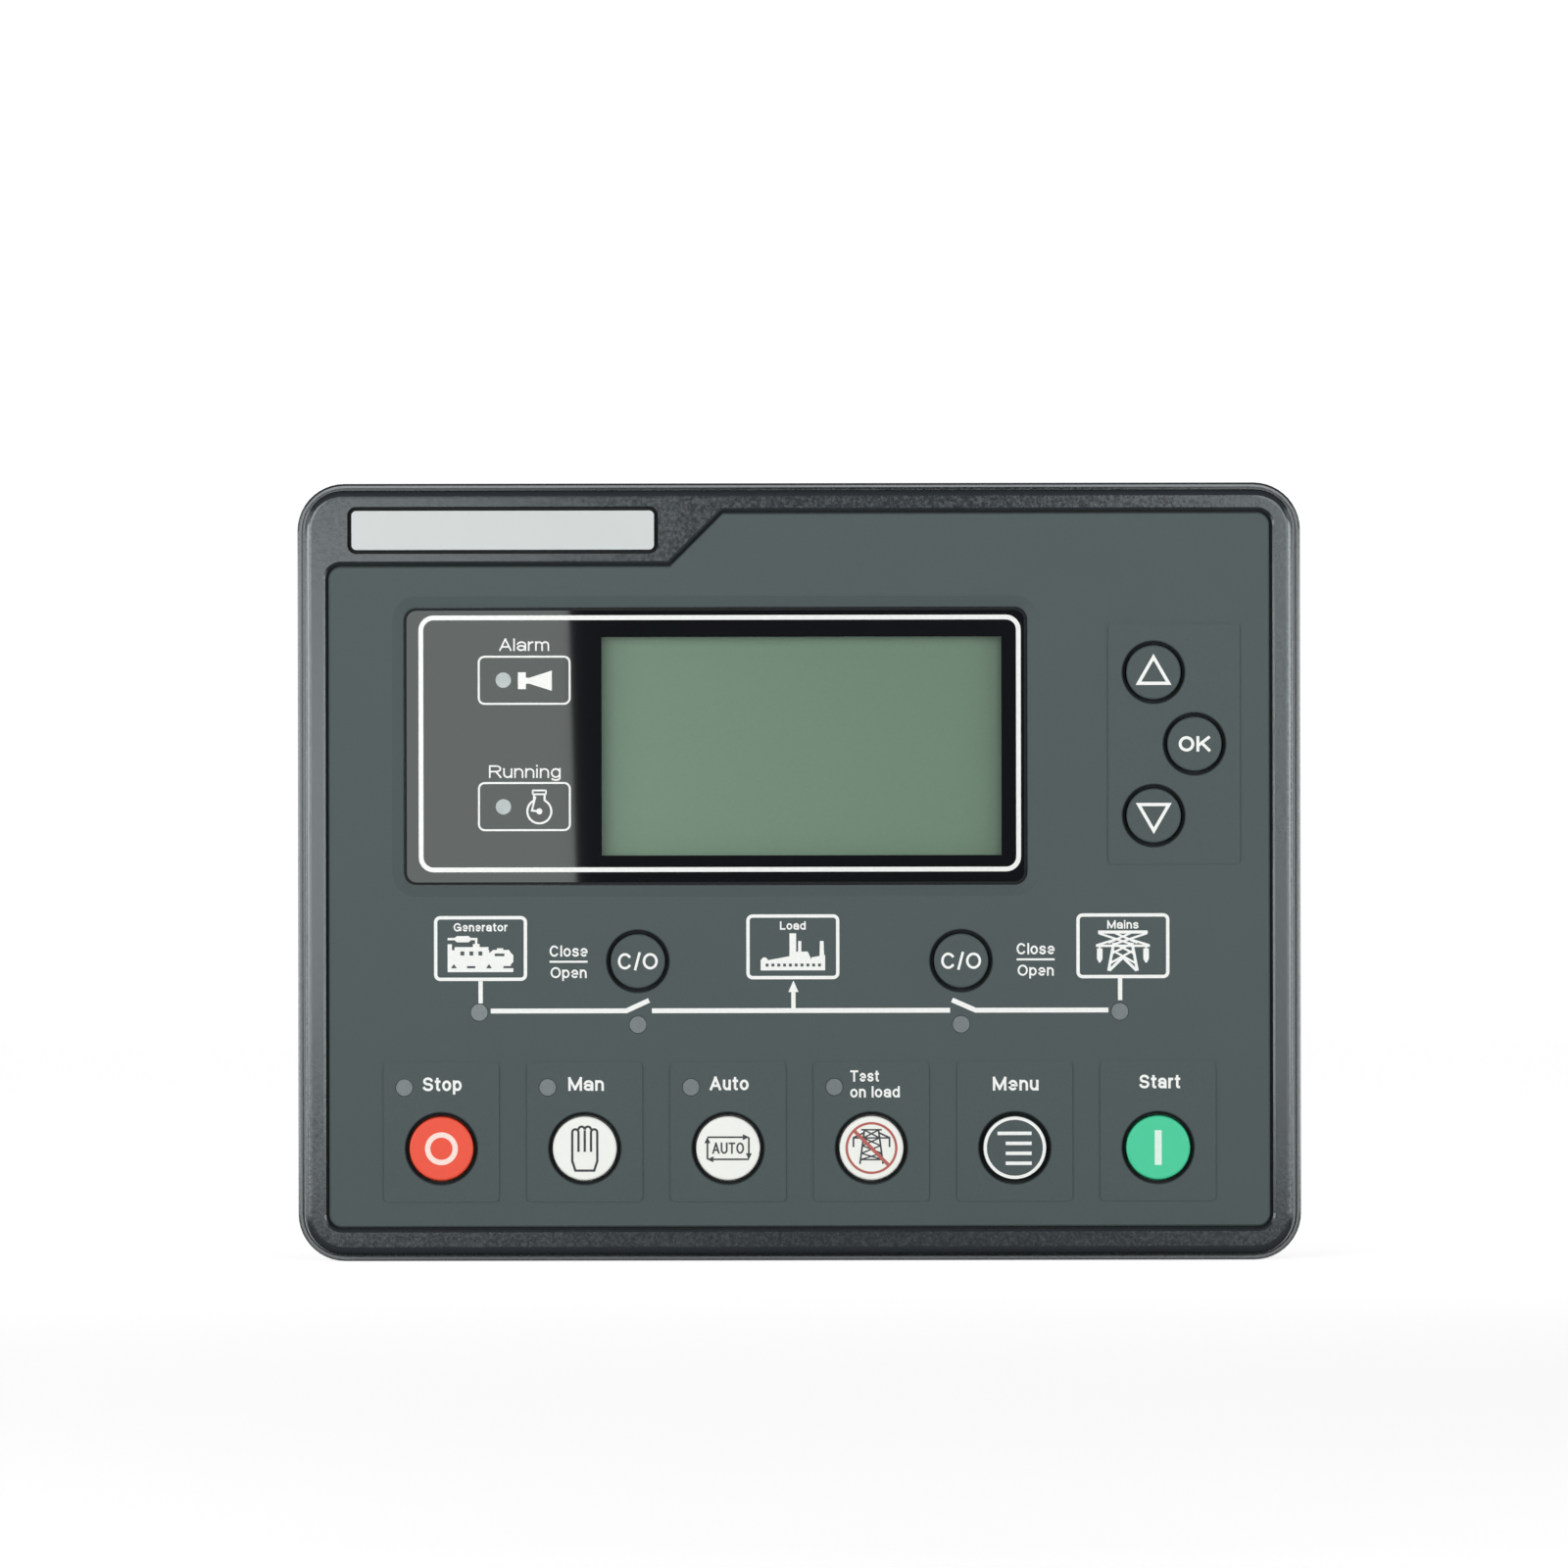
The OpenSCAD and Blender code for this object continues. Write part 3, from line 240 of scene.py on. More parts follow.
@dataclass(frozen=True)
class Moulding(Finish):
    """Injection- or compression-moulded plastic or rubber with the fine grain of its tool.

    The eye sees an even colour, small glints broken up by the grain, and faint clouds of gloss.

    Attributes:
        grain: Size of the tool's grain in millimetres.
        depth: Depth of the grain in millimetres.
        cloud: How much the colour varies, as a share.
        sheen: Soft bloom of a rubbery surface.
        index: Refractive index.
        cast: Faint colour of its gloss.
        speck: How much of the gloss the grain's pits take and its peaks add, as a share.
        cloud_size: Size of the colour's clouds in millimetres.
        mottle: How much the roughness varies to either side.
    """

    grain: float = 0.5
    depth: float = 0.012
    cloud: float = 0.06
    sheen: float = 0.0
    index: float = PLASTIC_IOR
    cast: str = "#ffffff"
    speck: float = 0.0
    cloud_size: float = 14.0
    mottle: float = 0.06

    def look(self, tree: Tree, where: Socket) -> dict[str, Any]:
        """Adds an even colour with slow clouds, a mottled roughness and gloss, and a fine bump."""
        slow = add_node(tree, "TexNoise", pattern(where, self.cloud_size) | {"Detail": 3.0})
        fine = add_node(tree, "TexNoise", pattern(where, self.grain))
        tints = self.shades(1.0 - self.cloud, 1.0 + self.cloud)
        rough = {"To Min": self.roughness - self.mottle, "To Max": self.roughness + self.mottle}
        glint = {"To Min": 0.5 * (1.0 - self.speck), "To Max": 0.5 * (1.0 + self.speck)}
        return {
            "Base Color": add_node(tree, "Mix", {0: slow, **tints}, 2, data_type="RGBA"),
            "Roughness": add_node(tree, "MapRange", {"Value": fine, **NOISE_RANGE, **rough}),
            "Specular IOR Level": add_node(tree, "MapRange", {"Value": fine, **NOISE_RANGE, **glint}),
            "Normal": add_node(tree, "Bump", {"Height": fine, "Strength": 1.0, "Distance": self.depth * MM}),
            "IOR": self.index,
            "Sheen Weight": self.sheen,
            "Specular Tint": to_linear(self.cast),
        }


@dataclass(frozen=True)
class PrintingInk(Finish):
    """Screen-printed ink: a thin opaque film whose cover is a little uneven, so that it looks printed.

    Attributes:
        mesh: Size of the specks that the screen's mesh leaves, in millimetres.
    """

    mesh: float = 0.6

    def look(self, tree: Tree, where: Socket) -> dict[str, Any]:
        """Adds a colour that thins slightly in specks the size of the screen's mesh."""
        specks = add_node(tree, "TexNoise", pattern(where, self.mesh))
        tint = add_node(tree, "Mix", {0: specks, **self.shades(0.9, 1.06)}, 2, data_type="RGBA")
        return {"Base Color": tint, "IOR": PLASTIC_IOR}


@dataclass(frozen=True)
class BackPrintedAcrylic(Finish):
    """Cast acrylic with a black print on its back that leaves a clear pane for the display.

    The eye sees a deep gloss black that mirrors the room, and a clear pane with the same gloss.

    Attributes:
        middle: Middle x and z of the clear pane in millimetres.
        size: Its width and height in millimetres.
        cast: Faint colour of the black's gloss.
    """

    middle: Point = (0.0, 0.0)
    size: Point = (1.0, 1.0)
    cast: str = "#f4fffa"

    def shade(self, tree: Tree, where: Socket) -> Socket:
        """Adds a gloss black surface, and clear gloss where x and z fall in the pane."""
        inside: list[Socket] = []
        for axis, middle, size in zip("XZ", self.middle, self.size):
            place = add_node(tree, "SeparateXYZ", {0: where}, axis)
            off = add_node(tree, "Math", {0: place, 1: middle * MM}, operation="SUBTRACT")
            far = add_node(tree, "Math", {0: off}, operation="ABSOLUTE")
            inside.append(add_node(tree, "Math", {0: far, 1: size / 2 * MM}, operation="LESS_THAN"))
        clear = add_node(tree, "Math", {0: inside[0], 1: inside[1]}, operation="MULTIPLY")
        look = {"Base Color": to_linear(self.colour), "Roughness": self.roughness, "IOR": ACRYLIC_IOR}
        black = add_node(tree, "BsdfPrincipled", look | {"Specular Tint": to_linear(self.cast)})
        through = add_node(tree, "BsdfTransparent")
        gloss = add_node(tree, "BsdfGlossy", {"Roughness": self.roughness})
        edge = add_node(tree, "Fresnel", {"IOR": ACRYLIC_IOR})
        # Light goes straight through, so only the way in mirrors: from inside, the slant would shut it in
        inner_face = add_node(tree, "NewGeometry", out="Backfacing")
        way_in = add_node(tree, "Math", {0: 1.0, 1: inner_face}, operation="SUBTRACT")
        mirror = add_node(tree, "Math", {0: edge, 1: way_in}, operation="MULTIPLY")
        pane = add_node(tree, "MixShader", {0: mirror, 1: through, 2: gloss})
        return add_node(tree, "MixShader", {0: clear, 1: black, 2: pane})


@dataclass(frozen=True)
class ReflectiveDisplay(Finish):
    """Unlit liquid-crystal glass over a frosted reflector: grey-green, with painted light that makes it
    lighter towards one lower corner.

    Attributes:
        far_colour: Painted shade: the colour at the corner that the light leaves.
        middle: Middle x and z of the visible glass in millimetres.
        span: Distance over which the colour changes, in millimetres.
        way: Direction of the change in x and z.
        frost: Size of the reflector's frost in millimetres.
        uneven: How far the frost moves the change to either side, as a share.
    """

    far_colour: str = "#607b65"
    middle: Point = (0.0, 0.0)
    span: float = 96.0
    way: Point = (-0.8, -0.6)
    # The frost of a reflector is about 0.05 mm across; it is drawn at 0.5 mm so that it shows
    frost: float = 0.5
    uneven: float = 0.12

    def look(self, tree: Tree, where: Socket) -> dict[str, Any]:
        """Adds painted light: a colour that runs along the diagonal from the shaded corner to the lit one,
        with the reflector's fine frost over it.
        """
        lean = (self.way[0] / (self.span * MM), 0.0, self.way[1] / (self.span * MM))
        run = add_node(tree, "VectorMath", {0: where, 1: lean}, "Value", operation="DOT_PRODUCT")
        start = (self.middle[0] * lean[0] + self.middle[1] * lean[2]) * MM
        along = add_node(tree, "MapRange", {"Value": run, "From Min": start - 0.5, "From Max": start + 0.5})
        frost = add_node(tree, "TexNoise", pattern(where, self.frost) | {"Detail": 1.0})
        reach = {"To Min": -self.uneven, "To Max": self.uneven}
        spread = add_node(tree, "MapRange", {"Value": frost, **NOISE_RANGE, **reach})
        mixed = add_node(tree, "Math", {0: along, 1: spread}, operation="ADD")
        # Painted light: the shaded corner's colour at one end of the diagonal, the lit corner's at the other
        ends = {6: to_linear(self.far_colour), 7: to_linear(self.colour)}
        tint = add_node(tree, "Mix", {0: mixed, **ends}, 2, data_type="RGBA")
        return {"Base Color": tint, "IOR": PLASTIC_IOR}


@dataclass(frozen=True)
class DiffusingAcrylic(Finish):
    """Milky acrylic of a light pipe: a soft, slightly cloudy grey with a polished end.

    Attributes:
        cloud_size: Size of its clouds in millimetres.
    """

    cloud_size: float = 1.2

    def look(self, tree: Tree, where: Socket) -> dict[str, Any]:
        """Adds a milky colour that clouds slightly, under a smooth clear coat."""
        milk = add_node(tree, "TexNoise", pattern(where, self.cloud_size))
        tint = add_node(tree, "Mix", {0: milk, **self.shades(0.86, 1.14)}, 2, data_type="RGBA")
        return {"Base Color": tint, "IOR": ACRYLIC_IOR, "Coat Weight": 0.3, "Coat Roughness": 0.1}


@dataclass(frozen=True)
class PlatedSteel(Finish):
    """Zinc-plated sheet or screw steel: a grey metal with patchy crystals and fine drawing lines.

    Attributes:
        crystal: Size of the crystals in millimetres.
        line: Distance between the drawing lines in millimetres.
        stretch: Scale of the lines along their length, as a share of that across them.
        mottle: How much the roughness varies to either side.
    """

    crystal: float = 3.0
    line: float = 0.4
    stretch: float = 0.06
    mottle: float = 0.1

    def look(self, tree: Tree, where: Socket) -> dict[str, Any]:
        """Adds a metal whose colour varies with the crystals and whose roughness varies with the lines."""
        crystal = add_node(tree, "TexVoronoi", pattern(where, self.crystal), "Color")
        drawn = add_node(tree, "Mapping", {"Vector": where, "Scale": (1.0, self.stretch, 1.0)})
        lines = add_node(tree, "TexNoise", pattern(drawn, self.line))
        tint = add_node(tree, "Mix", {0: crystal, **self.shades(0.82, 1.0)}, 2, data_type="RGBA")
        reach = {"To Min": self.roughness - self.mottle, "To Max": self.roughness + self.mottle}
        rough = add_node(tree, "MapRange", {"Value": lines, **reach})
        return {"Base Color": tint, "Roughness": rough, "Metallic": 1.0}


@dataclass(frozen=True)
class CoatedBoard(Finish):
    """Glass-epoxy board under green solder mask: glossy, with paler lines where copper runs beneath.

    Attributes:
        track: Colour over the copper.
        pitch: Distance between the copper's paths in millimetres.
        gap: Distance from the middle between two paths to the edge of either, as a share of the pitch.
        copper: Thickness of the copper in millimetres.
    """

    track: str = "#2f8f5c"
    pitch: float = 6.0
    gap: float = 0.55
    copper: float = 0.035

    def look(self, tree: Tree, where: Socket) -> dict[str, Any]:
        """Adds right-angled paths, paler and raised by the copper's thickness."""
        cells = add_node(tree, "TexVoronoi", pattern(where, self.pitch), distance="MANHATTAN")
        path = add_node(tree, "Math", {0: cells, 1: self.gap}, operation="GREATER_THAN")
        ends = {6: to_linear(self.colour), 7: to_linear(self.track)}
        tint = add_node(tree, "Mix", {0: path, **ends}, 2, data_type="RGBA")
        bump = add_node(tree, "Bump", {"Height": path, "Strength": 1.0, "Distance": self.copper * MM})
        return {"Base Color": tint, "Normal": bump, "IOR": EPOXY_IOR}


@dataclass(frozen=True)
class CellRubber(Finish):
    """Closed-cell sealing rubber: dull black and pitted.

    Attributes:
        cell: Size of a cell in millimetres.
        pit: Depth of a cell in millimetres.
    """

    cell: float = 0.8
    pit: float = 0.15

    def look(self, tree: Tree, where: Socket) -> dict[str, Any]:
        """Adds a dull colour with a pit in the middle of each cell."""
        cells = add_node(tree, "TexVoronoi", pattern(where, self.cell))
        tint = add_node(tree, "Mix", {0: cells, **self.shades(0.6, 1.3)}, 2, data_type="RGBA")
        bump = add_node(tree, "Bump", {"Height": cells, "Strength": 1.0, "Distance": self.pit * MM})
        return {"Base Color": tint, "Normal": bump, "IOR": PLASTIC_IOR}


@dataclass(frozen=True)
class BackdropPaper(Finish):
    """Matt white paper that keeps a shadow: its own light grows towards the back and brings it up to white.

    Attributes:
        front: Own light of the paper in front of the part, where the lamps reach it.
        back: Own light of the paper behind the part.
        reach: Where the one begins to go over to the other, and where it ends, along Y in millimetres.
    """

    front: float = 0.3
    back: float = 0.86
    reach: Point = (-900.0, 200.0)

    def shade(self, tree: Tree, where: Socket) -> Socket:
        """Adds plain paper and, for what is seen of it, its own light."""
        paper = add_node(tree, "BsdfDiffuse", {"Color": to_linear(self.colour)})
        span = {"From Min": self.reach[0] * MM, "From Max": self.reach[1] * MM}
        depth = {"Value": add_node(tree, "SeparateXYZ", {0: where}, "Y")}
        light = add_node(tree, "MapRange", depth | span | {"To Min": self.front, "To Max": self.back})
        own = add_node(tree, "Math", {0: seen(tree), 1: light}, operation="MULTIPLY")
        return add_node(tree, "AddShader", {0: paper, 1: add_node(tree, "Emission", {"Strength": own})})


DISPLAY_MIDDLE: Point = (0.5, 26.2)
DISPLAY_SIZE: Point = (83.2, 45.5)

FINISHES: dict[Slot, Finish] = {
    # Spark-eroded ABS: charcoal, broken glints along every rounded edge
    # The tool's grain is about 0.3 mm across; it is drawn at 0.65 mm so that it shows
    Slot.FRAME: Moulding(
        "ABS_spark_eroded_charcoal", "#2e3236", 0.17,
        grain=0.65, depth=0.007, index=1.68, cast="#f5ffff", speck=0.25,
    ),
    # The same plastic in near black for the hidden housing
    Slot.HOUSING: Moulding("ABS_spark_eroded_black", "#2a2b2e", 0.5, grain=0.6, depth=0.02),
    # Compression-moulded silicone: slate grey and matt, no sharp glints
    Slot.FACE: Moulding(
        "silicone_matt_slate", "#445051", 0.72, grain=0.4, depth=0.006, cloud=0.03, sheen=0.02
    ),
    # The key caps are the same rubber in signal colours
    Slot.WHITE: Moulding("silicone_matt_white", "#eef0ea", 0.6, grain=0.4, depth=0.004, cloud=0.02),
    Slot.RED: Moulding("silicone_matt_red", "#ec4e34", 0.55, grain=0.4, depth=0.004, cloud=0.03),
    Slot.GREEN: Moulding("silicone_matt_green", "#3fcb99", 0.55, grain=0.4, depth=0.004, cloud=0.03),
    # Satin lacquered plate: pale, smooth and softly bright
    Slot.PLATE: Moulding("lacquer_satin_pale_grey", "#c8cdcc", 0.4, grain=0.8, depth=0.003, cloud=0.03),
    Slot.SCREEN: BackPrintedAcrylic(
        "acrylic_black_back_print", "#141518", 0.02, middle=DISPLAY_MIDDLE, size=DISPLAY_SIZE
    ),
    # The display's colour and its shaded corner's colour paint light: lighter towards the lower left, darker
    # towards the upper right
    Slot.DISPLAY: ReflectiveDisplay("liquid_crystal_grey_green", "#6d8973", 0.3, middle=DISPLAY_MIDDLE),
    Slot.GUIDE: DiffusingAcrylic("acrylic_milky_grey", "#6c7677", 0.35),
    Slot.STEEL: PlatedSteel("steel_zinc_plated", "#c3c6c9", 0.34),
    Slot.BOARD: CoatedBoard("glass_epoxy_green_mask", "#1c6340", 0.3),
    # Moulded cases and terminals: plain engineering plastics with a satin tool finish
    Slot.BLACK: Moulding("polyamide_moulded_black", "#1d1e20", 0.5, grain=0.5, depth=0.01),
    Slot.RELAY: Moulding("polyester_moulded_blue", "#2f62a8", 0.4, grain=0.6, depth=0.006),
    Slot.TERMINAL: Moulding("polyamide_moulded_green", "#2c9152", 0.42, grain=0.5, depth=0.01),
    Slot.GASKET: CellRubber("rubber_closed_cell_black", "#1c1c1d", 0.85),
}
PAPER = BackdropPaper("paper_matt_white", "#ececec", 1.0)
FELT = CellRubber("felt_black", "#161616", 0.9)


class Ink(Enum):
    """Inks of the marks, each with the record's slot that its colour comes from."""

    WHITE = (PrintingInk("ink_printed_white", "#f0f2ef", 0.5), Slot.WHITE)
    SCREEN_WHITE = (PrintingInk("ink_back_printed_white", "#eef1ee", 0.12), Slot.WHITE)
    BLACK = (PrintingInk("ink_printed_charcoal", "#33353a", 0.5), Slot.BLACK)
    RED = (PrintingInk("ink_printed_red", "#b35a50", 0.5), Slot.RED)
    FACE = (PrintingInk("ink_printed_slate", "#445051", 0.72), Slot.FACE)
    LAMP = (DiffusingAcrylic("acrylic_milky_pale", "#aeb8b7", 0.35), Slot.GUIDE)
    # Painted shade: near-black films at the bottom of the gaps round keys, face and nameplate, and along the
    # screen window's edge
    SEAL = (CellRubber("painted_shade_black", "#0b1112", 0.9), Slot.GASKET)
    # Painted shade: a dark ring on the face's rolled edge round each key
    LIP = (PrintingInk("painted_shade_silicone_rim", "#222d2f", 0.8), Slot.FACE)
    # Painted highlight: a light line along the front of the frame's lip
    RIDGE = (Moulding("ABS_painted_highlight", "#868b8d", 0.3, depth=0.004), Slot.FRAME)
    BLUSH = (PrintingInk("ink_printed_warm_white", "#ffe2d8", 0.5), Slot.WHITE)
    MINT = (PrintingInk("ink_printed_cool_white", "#dcf3e8", 0.5), Slot.WHITE)


def quads_of(number: NDArray[np.int64]) -> NDArray[np.int64]:
    """Quads that join neighbours on a grid of point numbers."""
    corners = [number[:-1, :-1], number[1:, :-1], number[1:, 1:], number[:-1, 1:]]
    return np.stack(corners, axis=-1).reshape(-1, 4)


def film(grid: Array, wraps: bool, thick: float) -> tuple[Array, NDArray[np.int64]]:
    """Closed thin film over a grid of points on a flat surface.

    The front sheet is the grid lifted by the film's thickness and the rear sheet is the grid itself. Quads
    join neighbours on each sheet, and a wall of quads joins the two sheets along the grid's open edges.

    Args:
        grid: Points (rows, columns, 2) in millimetres.
        wraps: Whether the last row joins the first.
        thick: Thickness of the film in millimetres.

    Returns:
        Points (n, 3) as x, z and height, and quads (m, 4).
    """
    rows, columns = grid.shape[:2]
    flat = grid.reshape(-1, 2)
    heights = np.repeat([thick, 0.0], len(flat))[:, None]
    points = np.hstack([np.vstack([flat, flat]), heights])
    front = np.arange(rows * columns).reshape(rows, columns)
    front = np.vstack([front, front[:1]]) if wraps else front
    rear = front + len(flat)
    sheet = quads_of(front)
    quads = [sheet, sheet[:, ::-1] + len(flat)]
    edges = [(front[:, 0], rear[:, 0]), (front[::-1, -1], rear[::-1, -1])]
    if not wraps:
        edges += [(front[0, ::-1], rear[0, ::-1]), (front[-1, :], rear[-1, :])]
    quads += [np.stack([top[:-1], low[:-1], low[1:], top[1:]], axis=-1) for top, low in edges]
    faces = np.vstack(quads)
    a, b, c = (flat[sheet[:, corner]] for corner in (0, 1, 2))
    turn = np.sum((b - a)[:, 0] * (c - a)[:, 1] - (b - a)[:, 1] * (c - a)[:, 0])
    return points, faces if turn > 0.0 else faces[:, ::-1]


def ribbon(path: Array, width: float, closed: bool) -> Array:
    """Two rails beside a path, as a grid.

    Each point moves half a width to either side along its mitre, the sum of the normals of the two edges that
    meet there divided by one plus their dot product, so that the ribbon keeps its width round a corner.

    Args:
        path: Points (n, 2) in millimetres.
        width: Width of the ribbon.
        closed: Whether the path's end joins its start.

    Returns:
        A grid (n, 2, 2).
    """
    after = np.roll(path, -1, axis=0) - path
    before = path - np.roll(path, 1, axis=0)
    if not closed:
        after[-1], before[0] = before[-1], after[0]
    after = after / np.linalg.norm(after, axis=1, keepdims=True)
    before = before / np.linalg.norm(before, axis=1, keepdims=True)
    left_after = np.column_stack([-after[:, 1], after[:, 0]])
    left_before = np.column_stack([-before[:, 1], before[:, 0]])
    even = 1.0 + np.sum(left_after * left_before, axis=1, keepdims=True)
    mitre = (left_after + left_before) / even * width / 2.0
    return np.stack([path - mitre, path + mitre], axis=1)


def arc(middle: Point, radii: float | Point, start: float, end: float, steps: int = 24) -> Array:
    """Points of an ellipse about a middle: radii times cosine and sine, at even angles in degrees."""
    turn = np.radians(np.linspace(start, end, steps))
    return np.array(middle) + np.array(radii) * np.column_stack([np.cos(turn), np.sin(turn)])


def pen(*parts: Any) -> Array:
    """One pen stroke through points and arcs in order; a point that repeats the one before is left out."""
    path = np.vstack([np.reshape(np.array(part, dtype=float), (-1, 2)) for part in parts])
    moved = np.abs(np.diff(path, axis=0)).max(axis=1) > 1e-6
    return path[np.concatenate([[True], moved])]


def lengthen(path: Array, by: float) -> Array:
    """Moves the ends of an open path outwards along its own direction, and leaves a closed one alone."""
    if np.allclose(path[0], path[-1]):
        return path
    ends = path.copy()
    for end, inner in ((0, 1), (-1, -2)):
        step = path[end] - path[inner]
        ends[end] += step / np.linalg.norm(step) * by
    return ends


@dataclass(frozen=True)
class Rim:
    """A line round a rounded rectangle.

    Attributes:
        size: Width and height to the outside of the line.
        radius: Corner radius there.
        width: Width of the line.
        middle: Middle of the rectangle.
    """

    size: Point
    radius: float
    width: float
    middle: Point = (0.0, 0.0)

    def path(self, steps: int = 8) -> Array:
        """The line's middle: a quarter circle about each inset corner, anticlockwise, back to its start."""
        turn = np.arange(4)[:, None] * math.pi / 2.0 + np.linspace(0.0, math.pi / 2.0, steps)[None, :]
        signs = np.array([[1.0, 1.0], [-1.0, 1.0], [-1.0, -1.0], [1.0, -1.0]])[:, None, :]
        radius = self.radius - self.width / 2.0
        inset = (np.array(self.size) - self.width) / 2.0 - radius
        arcs = radius * np.stack([np.cos(turn), np.sin(turn)], axis=-1)
        outline = (np.array(self.middle) + signs * inset + arcs).reshape(-1, 2)
        return pen(outline, outline[0])


# Height of a small letter as a share of a capital's, and the round bowl of such a letter
LOW = 0.73
BOWL = arc((0.5, LOW / 2), (0.5, LOW / 2), 0.0, 360.0)
LETTER_GAP = 0.13

# Plain upright letters as pen strokes: the width as a share of the capital's height, then each stroke's
# points, with x as a share of the letter's own width. A width of 0 is a letter of one stroke.
LETTERS: dict[str, tuple[float, tuple[Array, ...]]] = {
    " ": (0.3, ()),
    "/": (0.42, (pen((0, -0.06), (1, 1.06)),)),
    "A": (0.92, (pen((0, 0), (0.5, 1)), pen((0.5, 1), (1, 0)), pen((0.18, 0.3), (0.82, 0.3)))),
    "C": (0.9, (arc((0.5, 0.5), 0.5, 42, 318),)),
    "G": (0.96, (arc((0.5, 0.5), 0.5, 42, 345), pen((1, 0.06), (1, 0.46), (0.56, 0.46)))),
    "K": (0.86, (pen((0, 0), (0, 1)), pen((0.96, 1), (0.02, 0.36)), pen((0.34, 0.58), (1, 0)))),
    "L": (0.68, (pen((0, 1), (0, 0), (1, 0)),)),
    "M": (
        1.0,
        (pen((0, 0), (0, 1)), pen((0, 1), (0.5, 0.06)), pen((0.5, 0.06), (1, 1)), pen((1, 1), (1, 0))),
    ),
    "O": (0.96, (arc((0.5, 0.5), 0.5, 0, 360),)),
    "R": (
        0.86,
        (
            pen((0, 0), (0, 1)),
            pen((0, 1), arc((0.62, 0.75), (0.36, 0.25), 90, -90), (0, 0.5)),
            pen((0.6, 0.5), (1, 0)),
        ),
    ),
    "S": (0.82, (pen(arc((0.5, 0.75), (0.46, 0.25), 20, 270), arc((0.5, 0.25), (0.5, 0.25), 90, -160)),)),
    "T": (0.82, (pen((0, 1), (1, 1)), pen((0.5, 1), (0.5, 0)))),
    "U": (0.86, (pen((0, 1), arc((0.5, 0.32), (0.5, 0.32), 180, 360), (1, 1)),)),
    "a": (0.7, (arc((0.46, 0.2), (0.46, 0.2), 0, 360), pen(arc((0.5, 0.48), (0.5, 0.25), 165, 0), (1, 0)))),
    "d": (0.7, (BOWL, pen((1, 0), (1, 1)))),
    "e": (0.7, (pen((0, LOW / 2), (1, LOW / 2), arc((0.5, LOW / 2), (0.5, LOW / 2), 8, 304)),)),
    "g": (0.68, (BOWL, pen((1, LOW), arc((0.5, -0.06), (0.5, 0.2), 0, -150)))),
    "i": (0.0, (pen((0, 0), (0, 0.7)), pen((0, 1.0), (0, 1.03)))),
    "l": (0.0, (pen((0, 0), (0, 1)),)),
    "m": (
        1.04,
        (
            pen((0, 0), (0, LOW)),
            pen(arc((0.25, 0.48), (0.25, 0.25), 180, 0), (0.5, 0)),
            pen(arc((0.75, 0.48), (0.25, 0.25), 180, 0), (1, 0)),
        ),
    ),
    "n": (0.64, (pen((0, 0), (0, LOW)), pen(arc((0.5, 0.42), (0.5, 0.31), 180, 0), (1, 0)))),
    "o": (0.72, (BOWL,)),
    "p": (0.7, (BOWL, pen((0, LOW), (0, -0.3)))),
    "r": (0.4, (pen((0, 0), (0, LOW)), arc((1.0, 0.36), (1.0, 0.37), 180, 88))),
    "s": (0.64, (pen(arc((0.5, 0.55), (0.46, 0.18), 20, 270), arc((0.5, 0.185), (0.5, 0.185), 90, -160)),)),
    "t": (0.44, (pen((0.42, 0.96), arc((0.94, 0.15), (0.52, 0.15), 180, 270)), pen((0, LOW), (1, LOW)))),
    "u": (0.64, (pen((0, LOW), arc((0.5, 0.31), (0.5, 0.31), 180, 360)), pen((1, LOW), (1, 0)))),
    "0": (0.66, (arc((0.5, 0.5), 0.5, 0, 360),)),
    "1": (0.34, (pen((0, 0.72), (1, 1)), pen((1, 1), (1, 0)))),
    "2": (0.66, (arc((0.5, 0.7), (0.5, 0.3), 165, -40), pen((0.88, 0.5), (0, 0)), pen((0, 0), (1, 0)))),
    "3": (0.66, (arc((0.48, 0.75), (0.44, 0.25), 155, -90), arc((0.5, 0.25), (0.5, 0.25), 90, -155))),
    "4": (0.7, (pen((0.76, 0), (0.76, 1)), pen((0.76, 1), (0, 0.26)), pen((0, 0.26), (1, 0.26)))),
    "5": (
        0.66,
        (pen((0.94, 1), (0.14, 1)), pen((0.14, 1), (0.06, 0.5)), arc((0.48, 0.33), (0.52, 0.33), 150, -150)),
    ),
    "6": (0.68, (arc((0.5, 0.31), (0.5, 0.31), 0, 360), arc((0.7, 0.31), (0.7, 0.69), 180, 82))),
    "7": (0.62, (pen((0, 1), (1, 1)), pen((1, 1), (0.3, 0)))),
    "8": (0.68, (arc((0.5, 0.75), (0.44, 0.25), 0, 360), arc((0.5, 0.25), (0.5, 0.25), 0, 360))),
    "9": (0.68, (arc((0.5, 0.69), (0.5, 0.31), 0, 360), arc((0.3, 0.69), (0.7, 0.69), 0, -98))),
}


def add_object(name: str, data: bpy.types.ID) -> bpy.types.Object:
    """Puts a new object with its data into the scene."""
    made = bpy.data.objects.new(name, data)
    bpy.context.scene.collection.objects.link(made)
    return made


def add_mesh(name: str, points: Array, faces: Faces) -> bpy.types.Object:
    """Puts a new mesh into the scene: points (n, 3) in millimetres and the corner numbers of its faces."""
    mesh = bpy.data.meshes.new(name)
    mesh.from_pydata((points * MM).tolist(), [], faces)
    return add_object(name, mesh)


